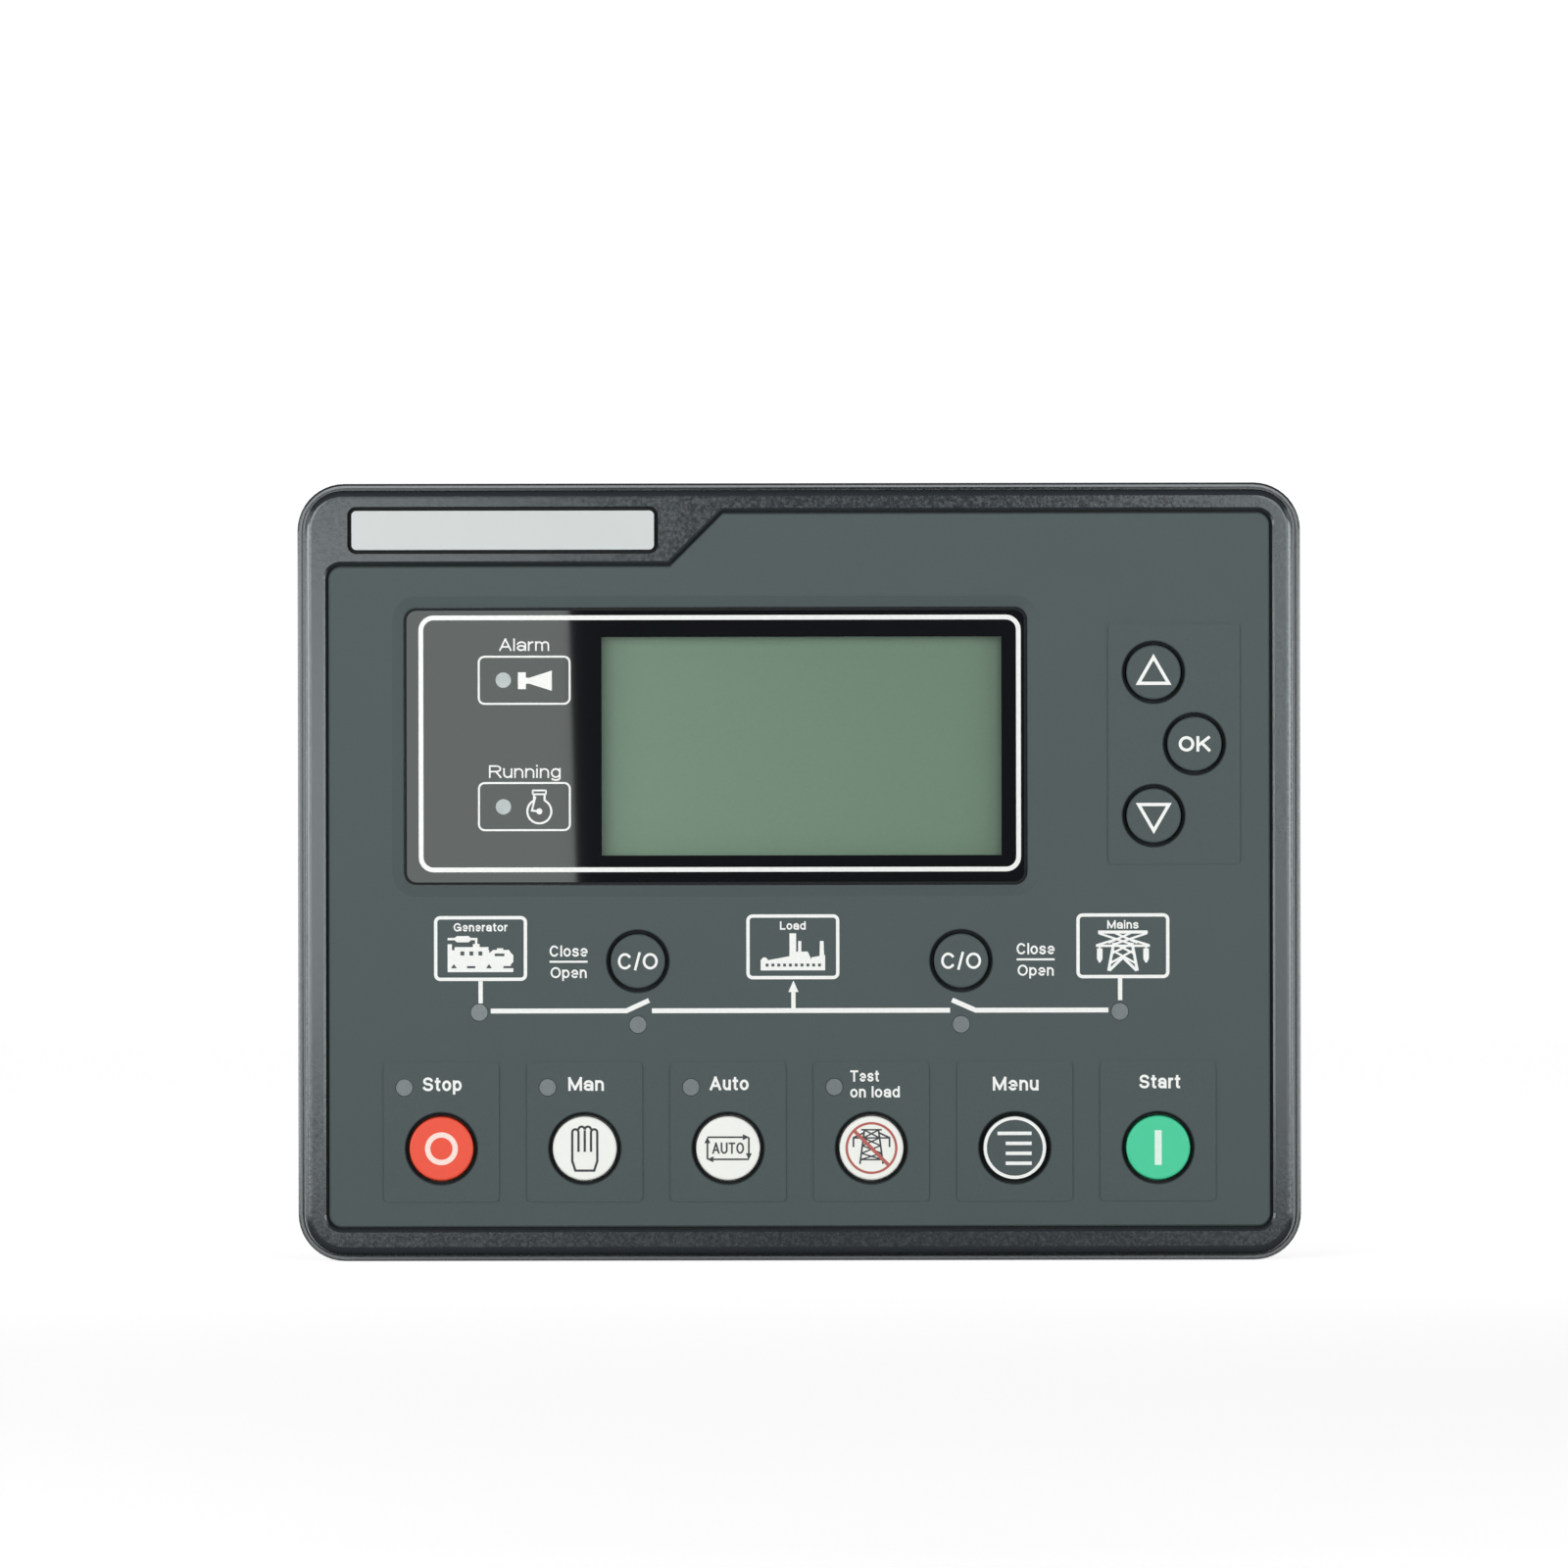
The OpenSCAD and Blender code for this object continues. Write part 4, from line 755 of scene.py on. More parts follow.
@dataclass
class Legend:
    """A group of marks in one ink on one flat surface.

    Each mark is a closed shell of its own, a hair higher than the one before it, so that marks which cross
    never share a plane.

    Attributes:
        name: Name of the piece.
        level: Height of the surface in front of the panel, or behind it for a rear surface.
        ink: Ink of the marks.
        body: Body that carries the surface.
        origin: Point that the marks are drawn about.
        facing: Which way the surface looks.
        thick: Thickness of the marks.
        points: Points of the marks so far.
        faces: Faces of the marks so far.
    """

    name: str
    level: float
    ink: Ink
    body: str = ROOT
    origin: Point = (0.0, 0.0)
    facing: Facing = Facing.FRONT
    thick: float = FILM
    points: list[Array] = field(default_factory=list)
    faces: Faces = field(default_factory=list)

    def fill(self, grid: Array, wraps: bool = False) -> None:
        """Adds a film over a grid, drawn about the legend's origin."""
        start = sum(len(part) for part in self.points)
        points, faces = film(grid, wraps, self.thick + STEP * (len(self.points) % STEPS))
        self.points.append(points + np.array([*self.origin, self.level]))
        self.faces += (faces + start).tolist()

    def line(self, path: Any, width: float) -> None:
        """Adds a line of a given width along a path, which is closed where its end meets its start."""
        spine = np.array(path, dtype=float)
        closed = bool(np.allclose(spine[0], spine[-1]))
        self.fill(ribbon(spine[:-1] if closed else spine, width, closed), closed)

    def box(self, rim: Rim) -> None:
        """Adds a line round a rounded rectangle."""
        self.line(rim.path(), rim.width)

    def ring(self, radius: float, width: float) -> None:
        """Adds a ring about the legend's origin, measured to the middle of its line."""
        self.line(arc((0.0, 0.0), radius, 0.0, 360.0, RING_POINTS), width)

    def dot(self, middle: Point, radius: float, steps: int = 9) -> None:
        """Adds a filled disc with no pole.

        A square grid of u and v from -1 to 1 goes to x = u * sqrt(1 - v * v / 2) and
        z = v * sqrt(1 - u * u / 2).

        Args:
            middle: Middle of the disc.
            radius: Its radius.
            steps: Points along each side of the square.
        """
        side = np.linspace(-1.0, 1.0, steps)
        u, v = np.meshgrid(side, side, indexing="ij")
        unit = np.stack([u * np.sqrt(1.0 - v * v / 2.0), v * np.sqrt(1.0 - u * u / 2.0)], -1)
        self.fill(np.array(middle) + radius * unit)

    def patches(self, *shapes: tuple[Point, Point, Point, Point]) -> None:
        """Adds filled four-sided shapes, each by blending its corners a, b, c and d over u and v."""
        u, v = np.meshgrid([0.0, 1.0], [0.0, 1.0], indexing="ij")
        u, v = u[..., None], v[..., None]
        for shape in shapes:
            a, b, c, d = np.array(shape, dtype=float)
            self.fill((1.0 - u) * (1.0 - v) * a + u * (1.0 - v) * b + u * v * c + (1.0 - u) * v * d)

    def blocks(self, *corners: tuple[Point, Point]) -> None:
        """Adds filled rectangles, each between its low and its high corner."""
        for low, high in corners:
            self.patches((low, (high[0], low[1]), high, (low[0], high[1])))

    def both(self, strokes: tuple[tuple[Point, Point], ...], width: float) -> None:
        """Adds straight strokes, and then their mirror images on the other side of the origin."""
        for side in (1.0, -1.0):
            for stroke in strokes:
                self.line(np.array(stroke) * (side, 1.0), width)

    def words(
        self,
        text: str,
        at: Point,
        cap: float,
        width: float | None = None,
        anchor: Anchor = Anchor.CENTRE,
        stroke: float = 0.17,
    ) -> None:
        """Adds words in pen strokes, which keep their thickness when the words are drawn out to a width.

        Args:
            text: The words.
            at: Point on their baseline.
            cap: Height of a capital.
            width: Width of the whole, or None for the letters' own.
            anchor: Which end of the words the point names.
            stroke: Thickness of a stroke as a share of the capital's height.
        """
        line, gap = stroke * cap, LETTER_GAP * cap
        sizes = [LETTERS[letter][0] * cap or line for letter in text]
        whole = sum(sizes) + gap * (len(text) - 1)
        grow = width / whole if width else 1.0
        x = at[0] - anchor.value * whole * grow
        for letter, size in zip(text, sizes):
            for path in LETTERS[letter][1]:
                spread = np.array([size * grow - line, cap - line])
                placed = path * spread + (x + line / 2.0, at[1] + line / 2.0)
                self.line(lengthen(placed, line / 2.0), line)
            x += (size + gap) * grow

    def make(self) -> None:
        """Makes the legend one piece of the part, dresses it and sets it on its body."""
        finish, slot = self.ink.value
        points = np.vstack(self.points)
        piece = add_mesh(self.name, points @ np.array(self.facing.value), self.faces)
        piece.data.validate()
        finish.dress(piece)
        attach(piece, self.body)
        LOG.info("%s: %d points on %s", self.name, len(points), self.body)


def key_legend(key: Key, name: str, ink: Ink) -> Legend:
    """An empty legend on a key's front.

    Args:
        key: The key.
        name: Name of the piece.
        ink: Its ink.

    Returns:
        The legend, drawn about the key's middle.
    """
    low, high = (np.array(corner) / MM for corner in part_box(key.value))
    middle = (low + high) / 2.0
    return Legend(name, -float(low[1]), ink, key.value, (float(middle[0]), float(middle[2])))


@dataclass
class ShadowGaps:
    """Painted shade in the gaps round keys, face, nameplate and screen window and round the key holes, and a
    painted highlight along the frame's lip.

    Attributes:
        rise: Height of the painted shade that stands on the web in a gap.
        key_clear: Gap left free round a key.
        key_seal: Width of the painted shade in the gap round a key.
        key_lip: Width of the painted shade on the face's rolled edge round a key.
        key_lip_gap: Gap between that painted shade and the one in the key's gap.
        face_right: Half the width of the gap's middle line round the face.
        face_top: Its top.
        face_bottom: Its bottom.
        face_r: Its corner radius.
        step: Drop of the face's top at the left.
        step_x: Start of the slope that leads down to it.
        face_width: Width of the painted shade in the gap round the face.
        plate: The painted shade in the gap round the nameplate.
        plate_level: Height of that gap's floor.
        plate_rise: Height of the painted shade in it.
        lens: Painted shade along the edge of the screen window.
        lip_level: Height of the lip's front.
        lip_inset: Distance of the painted highlight on the lip inside the frame's outline.
        lip_r: Corner radius of that highlight.
        lip_width: Width of that highlight.
    """

    rise: float = 1.3
    key_clear: float = 0.32
    key_seal: float = 0.51
    key_lip: float = 0.18
    key_lip_gap: float = 0.02
    face_right: float = 98.1
    face_top: float = 74.9
    face_bottom: float = -74.0
    face_r: float = 2.9
    step: float = 11.0
    step_x: float = -15.92
    face_width: float = 0.58
    plate: Rim = Rim((64.55, 9.75), 1.8, 0.8, (-61.55, 71.15))
    plate_level: float = 8.5
    plate_rise: float = 0.6
    lens: Rim = Rim((129.5, 57.6), 2.6, 0.55, (-17.4, 26.2))
    lip_level: float = 3.6
    lip_inset: float = 0.41
    lip_r: float = 9.39
    lip_width: float = 0.45

    def build(self) -> None:
        """Lays the painted shade in every gap and on the face round each key, and the painted highlight on
        the lip.
        """
        for key in Key:
            # Painted shade: a near-black ring standing in each key's gap
            gap_shade = key_legend(key, f"gap_shade_{key.value}", Ink.SEAL)
            gap_shade.body, gap_shade.level, gap_shade.thick = ROOT, WEB, self.rise
            outer = key.radius + self.key_clear + self.key_seal
            gap_shade.ring(outer - self.key_seal / 2.0, self.key_seal)
            gap_shade.make()
            # Painted shade: a dark ring on the face round each key's hole
            lip = key_legend(key, f"lip_{key.value}", Ink.LIP)
            lip.body, lip.level = ROOT, FACE if key in BREAKERS else PADS
            lip.ring(outer + self.key_lip_gap + self.key_lip / 2.0, self.key_lip)
            lip.make()
        self.build_face()
        low, high = (np.array(corner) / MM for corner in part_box("front_bezel"))
        size = high - low - 2.0 * self.lip_inset
        highlight_line = Rim((float(size[0]), float(size[2])), self.lip_r, self.lip_width)
        # Painted shade round the nameplate and along the screen window's edge, and a painted highlight along
        # the lip
        for legend, rim in (
            (Legend("gap_shade_plate", self.plate_level, Ink.SEAL, thick=self.plate_rise), self.plate),
            (Legend("lip_ridge", self.lip_level, Ink.RIDGE), highlight_line),
            (Legend("screen_edge", WINDOW, Ink.SEAL), self.lens),
        ):
            legend.box(rim)
            legend.make()

    def build_face(self) -> None:
        """Lays the painted shade in the gap round the face, along its stepped outline with round corners."""
        right, r = self.face_right, self.face_r
        low, high = self.face_bottom + r, self.face_top - r
        left_top = self.face_top - self.step
        outline = pen(
            arc((r - right, low), r, 180.0, 270.0, CORNER_POINTS),
            arc((right - r, low), r, 270.0, 360.0, CORNER_POINTS),
            arc((right - r, high), r, 0.0, 90.0, CORNER_POINTS),
            (self.step_x, self.face_top),
            (self.step_x - self.step, left_top),
            arc((r - right, left_top - r), r, 90.0, 180.0, CORNER_POINTS),
            (-right, low),
        )
        # Painted shade: a near-black line in the gap round the face
        gap_shade = Legend("gap_shade_face", WEB, Ink.SEAL, thick=self.rise)
        gap_shade.line(outline, self.face_width)
        gap_shade.make()


@dataclass
class ScreenWindow:
    """The screen window's printed border, and the alarm and running signs.

    Attributes:
        border: The white border.
        sign_x: Middle of the two signs.
        sign_rise: Middles of the alarm and running signs.
        sign: The line round a sign.
        stroke: Thickness of the words' strokes as a share of a capital's height.
        lamp_x: Middle of the lights.
        lamp_rise: Heights of the lights.
        lamp_r: Radius of a light.
    """

    border: Rim = Rim((125.25, 53.4), 3.1, 0.98, (-16.5, 26.75))
    sign_x: float = -57.15
    sign_rise: Point = (39.97, 13.7)
    sign: Rim = Rim((19.3, 10.2), 1.4, 0.4)
    stroke: float = 0.125
    lamp_x: float = -61.5
    lamp_rise: Point = (40.0, 13.65)
    lamp_r: float = 1.6

    def build(self) -> None:
        """Draws the border, the lights and both signs."""
        border = Legend("legend_screen_border", WINDOW, Ink.SCREEN_WHITE)
        border.box(self.border)
        border.make()
        lamps = Legend("screen_lamps", WINDOW, Ink.LAMP)
        for z in self.lamp_rise:
            lamps.dot((self.lamp_x, z), self.lamp_r)
        lamps.make()
        self.build_alarm(self.sign_rise[0])
        self.build_running(self.sign_rise[1])

    def build_alarm(self, z: float) -> None:
        """Draws the alarm sign, a horn, in a box with its middle at z."""
        sign = Legend("legend_alarm", WINDOW, Ink.SCREEN_WHITE, origin=(self.sign_x, z))
        sign.box(self.sign)
        sign.words("Alarm", (0.0, 6.1), 2.6, 10.4, stroke=self.stroke)
        sign.blocks(((-1.3, -1.85), (0.35, 1.65)), ((0.35, -0.7), (1.05, 0.5)))
        sign.patches(((1.05, -0.7), (5.75, -2.2), (5.75, 2.0), (1.05, 0.5)))
        sign.make()

    def build_running(self, z: float) -> None:
        """Draws the running sign, a flask-shaped engine with a crank, in a box with its middle at z."""
        sign = Legend("legend_running", WINDOW, Ink.SCREEN_WHITE, origin=(self.sign_x, z))
        sign.box(self.sign)
        sign.words("Running", (0.1, 5.95), 2.65, 14.9, stroke=self.stroke)
        middle = (3.1, -1.0)
        sign.line(arc(middle, 2.5, 116.0, 424.0, 40), 0.42)
        for x in (2.0, 4.2):
            sign.line([(x, 1.2), (x, 2.5)], 0.42)
        sign.box(Rim((3.1, 1.15), 0.25, 0.36, (3.1, 2.95)))
        sign.line([(2.3, 2.1), (1.55, -0.85), middle], 0.38)
        sign.dot(middle, 0.62)
        sign.make()


@dataclass
class MimicDiagram:
    """The printed line diagram: two supplies, the load, the bus between them and its breakers.

    Attributes:
        box: The line round each of the three boxes.
        generator: Middle of the generator's box.
        load: Middle of the load's box.
        mains: Middle of the mains box.
        word_z: Height of the words in the boxes above the middle.
        word_cap: Height of a capital in them.
        stem: Width of the lines that join the boxes to the bus.
        bus_z: Height of the bus.
        bus: Width of the bus.
    """

    box: Rim = Rim((19.35, 13.5), 1.3, 0.7)
    generator: Point = (-66.3, -15.8)
    load: Point = (-1.37, -15.55)
    mains: Point = (67.25, -15.45)
    word_z: float = 3.55
    word_cap: float = 1.75
    stem: float = 0.9
    bus_z: float = -28.8
    bus: float = 1.0

    def build(self) -> None:
        """Draws the boxes, their signs and the bus."""
        self.build_generator()
        self.build_load()
        self.build_mains()
        self.build_bus()
        self.build_breaker_words()

    def boxed(self, name: str, middle: Point, word: str, width: float) -> Legend:
        """Starts a box with its word.

        Args:
            name: Name of the piece.
            middle: Middle of the box.
            word: The word above the sign.
            width: Width of the word.

        Returns:
            The legend, drawn about the box's middle.
        """
        legend = Legend(name, FACE, Ink.WHITE, origin=middle)
        legend.box(self.box)
        legend.words(word, (0.0, self.word_z), self.word_cap, width, stroke=0.18)
        return legend

    def build_generator(self) -> None:
        """Draws the sign for an engine and its alternator, with their windows in the face's colour."""
        sign = self.boxed("legend_generator", self.generator, "Generator", 11.2)
        sign.blocks(
            ((-6.85, 1.73), (-5.3, 2.22)),
            ((-4.9, 1.3), (-2.5, 2.6)),
            ((-2.1, 1.73), (-0.65, 2.22)),
            ((-1.15, 0.9), (-0.65, 1.73)),
            ((-1.6, 0.2), (-0.2, 0.95)),
            ((-6.85, -4.9), (-5.95, 0.9)),
            ((-5.4, -0.35), (1.65, 0.3)),
            ((-5.95, -4.9), (1.8, -0.35)),
            ((1.8, -4.1), (6.3, -0.9)),
            ((3.4, -0.3), (4.7, 0.05)),
            ((1.8, -4.9), (6.8, -4.1)),
        )
        sign.patches(
            ((-5.3, 1.6), (-4.9, 1.3), (-4.9, 2.6), (-5.3, 2.3)),
            ((-2.5, 1.3), (-2.1, 1.6), (-2.1, 2.3), (-2.5, 2.6)),
            ((1.9, -0.9), (6.3, -0.9), (5.9, -0.3), (2.6, -0.3)),
            ((6.3, -3.3), (6.8, -2.8), (6.8, -1.4), (6.3, -0.9)),
        )
        sign.line([(0.0, -6.8), (0.0, -11.4)], self.stem)
        sign.make()
        holes = Legend("legend_generator_windows", FACE + 2.0 * FILM, Ink.FACE, origin=self.generator)
        for place in range(3):
            x = -3.78 + place * 1.87
            holes.blocks(((x - 0.4, -1.45), (x + 0.4, -0.6)))
        holes.blocks(((2.95, -1.6), (4.95, -1.05)))
        for x in (-5.55, 1.75):
            holes.patches(((x - 0.6, -4.1), (x + 0.6, -4.1), (x + 0.06, -3.3), (x - 0.06, -3.3)))
        for x in (-1.95, 5.6):
            holes.blocks(((x - 0.85, -4.1), (x + 0.85, -3.65)))
        holes.make()

    def build_load(self) -> None:
        """Draws the sign for a works with chimneys, and the arrow that feeds it."""
        sign = self.boxed("legend_load", self.load, "Load", 5.35)
        sign.blocks(
            ((-6.7, -4.9), (6.7, -2.8)),
            ((-0.7, -2.8), (0.68, 2.8)),
            ((1.1, -1.0), (1.75, 1.2)),
        )
        sign.patches(
            ((5.55, -1.9), (6.5, -1.9), (6.38, 1.2), (5.62, 1.2)),
            ((-6.7, -2.8), (-5.1, -2.8), (-5.6, -2.2), (-6.2, -2.2)),
            ((-5.1, -2.8), (-0.7, -2.8), (-0.7, -1.95), (-5.0, -2.75)),
            ((0.68, -2.8), (3.9, -2.8), (3.1, -1.0), (0.68, -1.0)),
            ((3.8, -2.8), (6.7, -2.8), (6.7, -1.7), (3.9, -2.2)),
        )
        sign.line([(0.1, -13.3), (0.1, -8.9)], self.stem)
        sign.patches(((-0.95, -9.4), (1.15, -9.4), (0.15, -7.1), (0.05, -7.1)))
        sign.make()
        holes = Legend("legend_load_windows", FACE + 2.0 * FILM, Ink.FACE, origin=self.load)
        for place in range(10):
            x = -5.36 + place * 1.21
            holes.blocks(((x - 0.3, -4.1), (x + 0.3, -3.5)))
        holes.make()

    def build_mains(self) -> None:
        """Draws the sign for the supply line, a lattice mast with two arms and insulators, and its stem."""
        sign = self.boxed("legend_mains", self.mains, "Mains", 6.5)
        sign.line([(-5.15, 2.85), (5.15, 2.85)], 0.65)
        sign.line([(-5.6, 0.0), (5.6, 0.0)], 0.5)
        arms = (((-5.0, 2.6), (2.2, 0.2)), ((-5.5, 0.1), (-1.6, 1.3)))
        lattice = (((-1.6, 2.65), (3.0, 0.6)), ((-1.9, 0.5), (2.3, -1.6)), ((-2.1, -1.0), (2.6, -3.6)))
        sign.both(arms + lattice, 0.45)
        sign.both((((-1.9, 0.6), (-3.0, -5.2)), ((0.0, -2.4), (-2.85, -5.15))), 0.6)
        for x in (-4.82, 4.82):
            sign.line([(x, 0.0), (x, -0.8)], 0.4)
            sign.blocks(((x - 0.58, -2.7), (x + 0.58, -0.55)))
            sign.patches(((x - 0.58, -2.7), (x - 0.15, -3.5), (x + 0.15, -3.5), (x + 0.58, -2.7)))
        sign.line([(-0.6, -6.7), (-0.6, -11.3)], self.stem)
        sign.make()

    def build_bus(self) -> None:
        """Draws the bus with its two open breaker blades."""
        bus = Legend("legend_bus", FACE, Ink.WHITE, origin=(0.0, self.bus_z))
        for path in (
            [(-64.2, 0.0), (-36.0, 0.0), (-31.3, 2.15)],
            [(-30.7, 0.0), (31.3, 0.0)],
            [(31.7, 2.15), (36.6, 0.0), (64.2, 0.0)],
        ):
            bus.line(path, self.bus)
        bus.make()

    def build_breaker_words(self) -> None:
        """Draws the words beside the breaker keys, one above and one below a line."""
        for name, x, z in (("left", -48.0, -18.58), ("right", 49.1, -18.25)):
            words = Legend(f"legend_breaker_{name}", FACE, Ink.WHITE, origin=(x, z))
            words.words("Close", (0.0, 1.05), 2.35, 7.9, stroke=0.16)
            words.line([(-3.95, 0.0), (3.95, 0.0)], 0.42)
            words.words("Open", (0.0, -3.4), 2.3, 7.5, stroke=0.16)
            words.make()


@dataclass
class KeyLegends:
    """The marks on the keys and the words above the lower row.

    Attributes:
        cap: Height of a capital in a word of one line.
        small_cap: Height of a capital in a word of two lines.
        arrow: Width of the arrows' lines.
        stop: Radius and width of the stop key's ring.
        start: Half the width and height of the start key's bar.
        finger: Width of a finger of the hand.
        hand: Width of the hand's lines.
        chase: Half the width and height of the four arrows round the word.
        test: Radius and width of the test key's ring.
        test_bar: Width of its bar.
        menu: Radius and width of the menu key's ring.
        menu_bar: Half the height of its bars.
    """

    cap: float = 2.85
    small_cap: float = 2.35
    arrow: float = 0.68
    stop: Point = (2.86, 1.1)
    start: Point = (0.72, 3.6)
    finger: float = 1.3
    hand: float = 0.48
    chase: Point = (4.3, 2.3)
    test: Point = (5.15, 0.5)
    test_bar: float = 0.72
    menu: Point = (6.15, 0.66)
    menu_bar: float = 0.36

    def build(self) -> None:
        """Draws the words and every key's mark."""
        self.build_words()
        self.build_arrows()
        self.build_key_words()
        self.build_stop_and_start()
        self.build_hand()
        self.build_auto()
        self.build_test()
        self.build_menu()

    def build_words(self) -> None:
        """Draws the words above the lower row of keys."""
        words = Legend("legend_modes", PADS, Ink.WHITE)
        for text, x, z, width in (
            ("Stop", -78.35, -45.42, 8.1),
            ("Man", -48.1, -45.42, 7.4),
            ("Auto", -18.7, -45.35, 8.1),
            ("Menu", 40.15, -45.5, 9.5),
            ("Start", 70.6, -45.1, 8.5),
        ):
            words.words(text, (x, z), self.cap, width, Anchor.LEFT, stroke=0.18)
        for text, z, width in (("Test", -43.6, 6.0), ("on load", -46.9, 10.3)):
            words.words(text, (10.5, z), self.small_cap, width, Anchor.LEFT)
        words.make()

    def build_arrows(self) -> None:
        """Draws the outline arrows on two of the keys beside the screen."""
        for key, sign in ((Key.UP, 1.0), (Key.DOWN, -1.0)):
            arrow = key_legend(key, f"legend_{key.name.lower()}", Ink.WHITE)
            path = np.array([(-3.15, -2.3), (3.15, -2.3), (0.0, 3.15), (-3.15, -2.3)]) * (1.0, sign)
            arrow.line(path, self.arrow)
            arrow.make()

    def build_key_words(self) -> None:
        """Draws the words on the third key beside the screen and on both breaker keys."""
        word = key_legend(Key.OK, "legend_ok", Ink.WHITE)
        word.words("OK", (0.0, -1.6), 3.2, 6.6, stroke=0.19)
        word.make()
        for key in BREAKERS:
            word = key_legend(key, f"legend_co_{key.name.lower()}", Ink.WHITE)
            word.words("C/O", (0.0, -1.7), 3.4, 8.3, stroke=0.155)
            word.make()

    def build_stop_and_start(self) -> None:
        """Draws the ring on the stop key and the bar on the start key."""
        ring = key_legend(Key.STOP, "legend_stop", Ink.BLUSH)
        ring.ring(*self.stop)
        ring.make()
        bar = key_legend(Key.START, "legend_start", Ink.MINT)
        bar.blocks(((-self.start[0], -self.start[1]), self.start))
        bar.make()

    def build_hand(self) -> None:
        """Draws an open hand in outline: four arched fingers, the lines between them and the palm."""
        hand = key_legend(Key.MAN, "legend_hand", Ink.BLACK)
        wide = self.finger
        for place, top in enumerate((3.35, 3.9, 3.9, 3.35)):
            hand.line(arc(((place - 1.5) * wide, top), wide / 2.0, 0.0, 180.0, 13), self.hand)
        for place, top in enumerate((3.55, 3.8, 3.55)):
            hand.line([((place - 1.0) * wide, -0.7), ((place - 1.0) * wide, top)], self.hand)
        side = 2.0 * wide
        palm = [(-side, 3.35), (-side, -2.6), (-1.95, -4.6), (1.95, -4.6), (side, -2.6), (side, 3.35)]
        hand.line(palm, self.hand)
        hand.make()

    def build_auto(self) -> None:
        """Draws the word inside four arrows that chase each other round it."""
        auto = key_legend(Key.AUTO, "legend_auto", Ink.BLACK)
        auto.words("AUTO", (0.0, -1.15), 2.35, 6.6, stroke=0.15)
        line, head, base, tip = 0.36, 1.25, 0.62, 0.04
        corners = np.array(self.chase) * [(-1.0, 1.0), (1.0, 1.0), (1.0, -1.0), (-1.0, -1.0)]
        for start, end in zip(corners, np.roll(corners, -1, axis=0)):
            along = (end - start) / np.linalg.norm(end - start)
            across = np.array([-along[1], along[0]])
            neck = end - along * head
            auto.line([start, neck], line)
            auto.patches((neck - across * base, end - across * tip, end + across * tip, neck + across * base))
        auto.make()

    def build_test(self) -> None:
        """Draws the supply mast and, over it, a thin red ring with its bar."""
        mast = key_legend(Key.TEST, "legend_test_mast", Ink.BLACK)
        for half, z in ((2.15, 3.8), (3.9, 2.1), (2.25, -2.4)):
            mast.line([(-half, z), (half, z)], 0.32)
        legs = (((-1.45, 3.9), (-2.4, -3.3)), ((-3.85, 2.1), (-1.5, 3.2)), ((-3.75, 2.1), (-3.75, 0.2)))
        mast.both(legs, 0.36)
        tiers = ((1.6, 3.8), (1.7, 2.1), (1.9, 0.5), (2.1, -1.1), (2.25, -2.4))
        for (top, high), (foot, low) in zip(tiers, tiers[1:]):
            mast.both((((-top, high), (foot, low)),), 0.3)
        mast.make()
        ring = key_legend(Key.TEST, "legend_test_ring", Ink.RED)
        ring.level += FILM
        ring.ring(*self.test)
        lean = self.test[0] * math.sqrt(0.5)
        ring.line([(-lean, lean), (lean, -lean)], self.test_bar)
        ring.make()

    def build_menu(self) -> None:
        """Draws a ring and four bars, the top one longer."""
        menu = key_legend(Key.MENU, "legend_menu", Ink.WHITE)
        menu.ring(*self.menu)
        for left, z in ((-3.6, 3.0), (-1.9, 0.92), (-1.9, -1.15), (-1.9, -3.22)):
            menu.blocks(((left, z - self.menu_bar), (3.5, z + self.menu_bar)))
        menu.make()


@dataclass
class RearSide:
    """The printed terminal numbers on the housing's back.

    Attributes:
        level: Distance of the housing's back behind the panel.
        number_z: Height of the numbers' middle line from the middle of the housing.
        number_cap: Height of a number.
        rows: Plugs of each row with their poles and pitch.
    """

    level: float = 35.0
    number_z: float = 42.0
    number_cap: float = 1.9
    rows: tuple[tuple[str, int, float], ...] = (
        ("top_left", 8, 5.08),
        ("top_middle", 10, 5.08),
        ("top_right", 8, 5.08),
        ("bottom_left", 6, 7.62),
        ("bottom_middle", 8, 5.08),
        ("bottom_right", 6, 7.62),
    )

    def build(self) -> None:
        """Draws a number beside each pole."""
        numbers = Legend("legend_terminals", self.level, Ink.WHITE, facing=Facing.REAR)
        count = 0
        for name, poles, pitch in self.rows:
            low, high = (np.array(corner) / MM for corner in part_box(f"terminal_plug_{name}"))
            middle = float(low[0] + high[0]) / 2.0
            z = self.number_z if low[2] > 0.0 else -self.number_z
            for pole in range(poles):
                count += 1
                x = -(middle + (pole - (poles - 1) / 2.0) * pitch)
                numbers.words(str(count), (x, z - self.number_cap / 2.0), self.number_cap, stroke=0.13)
        numbers.make()


@dataclass
class Casework:
    """The CAD solids, each dressed in the finish of its slot."""

    def dress(self) -> None:
        """Puts each node's finish in its material slots."""
        for part in frame["record"]["subparts"]:
            piece = frame["nodes"][part["node"]]
            FINISHES[Slot(part["material_slot"])].dress(piece)
            LOG.info("%s: %s", part["node"], part["material_slot"])


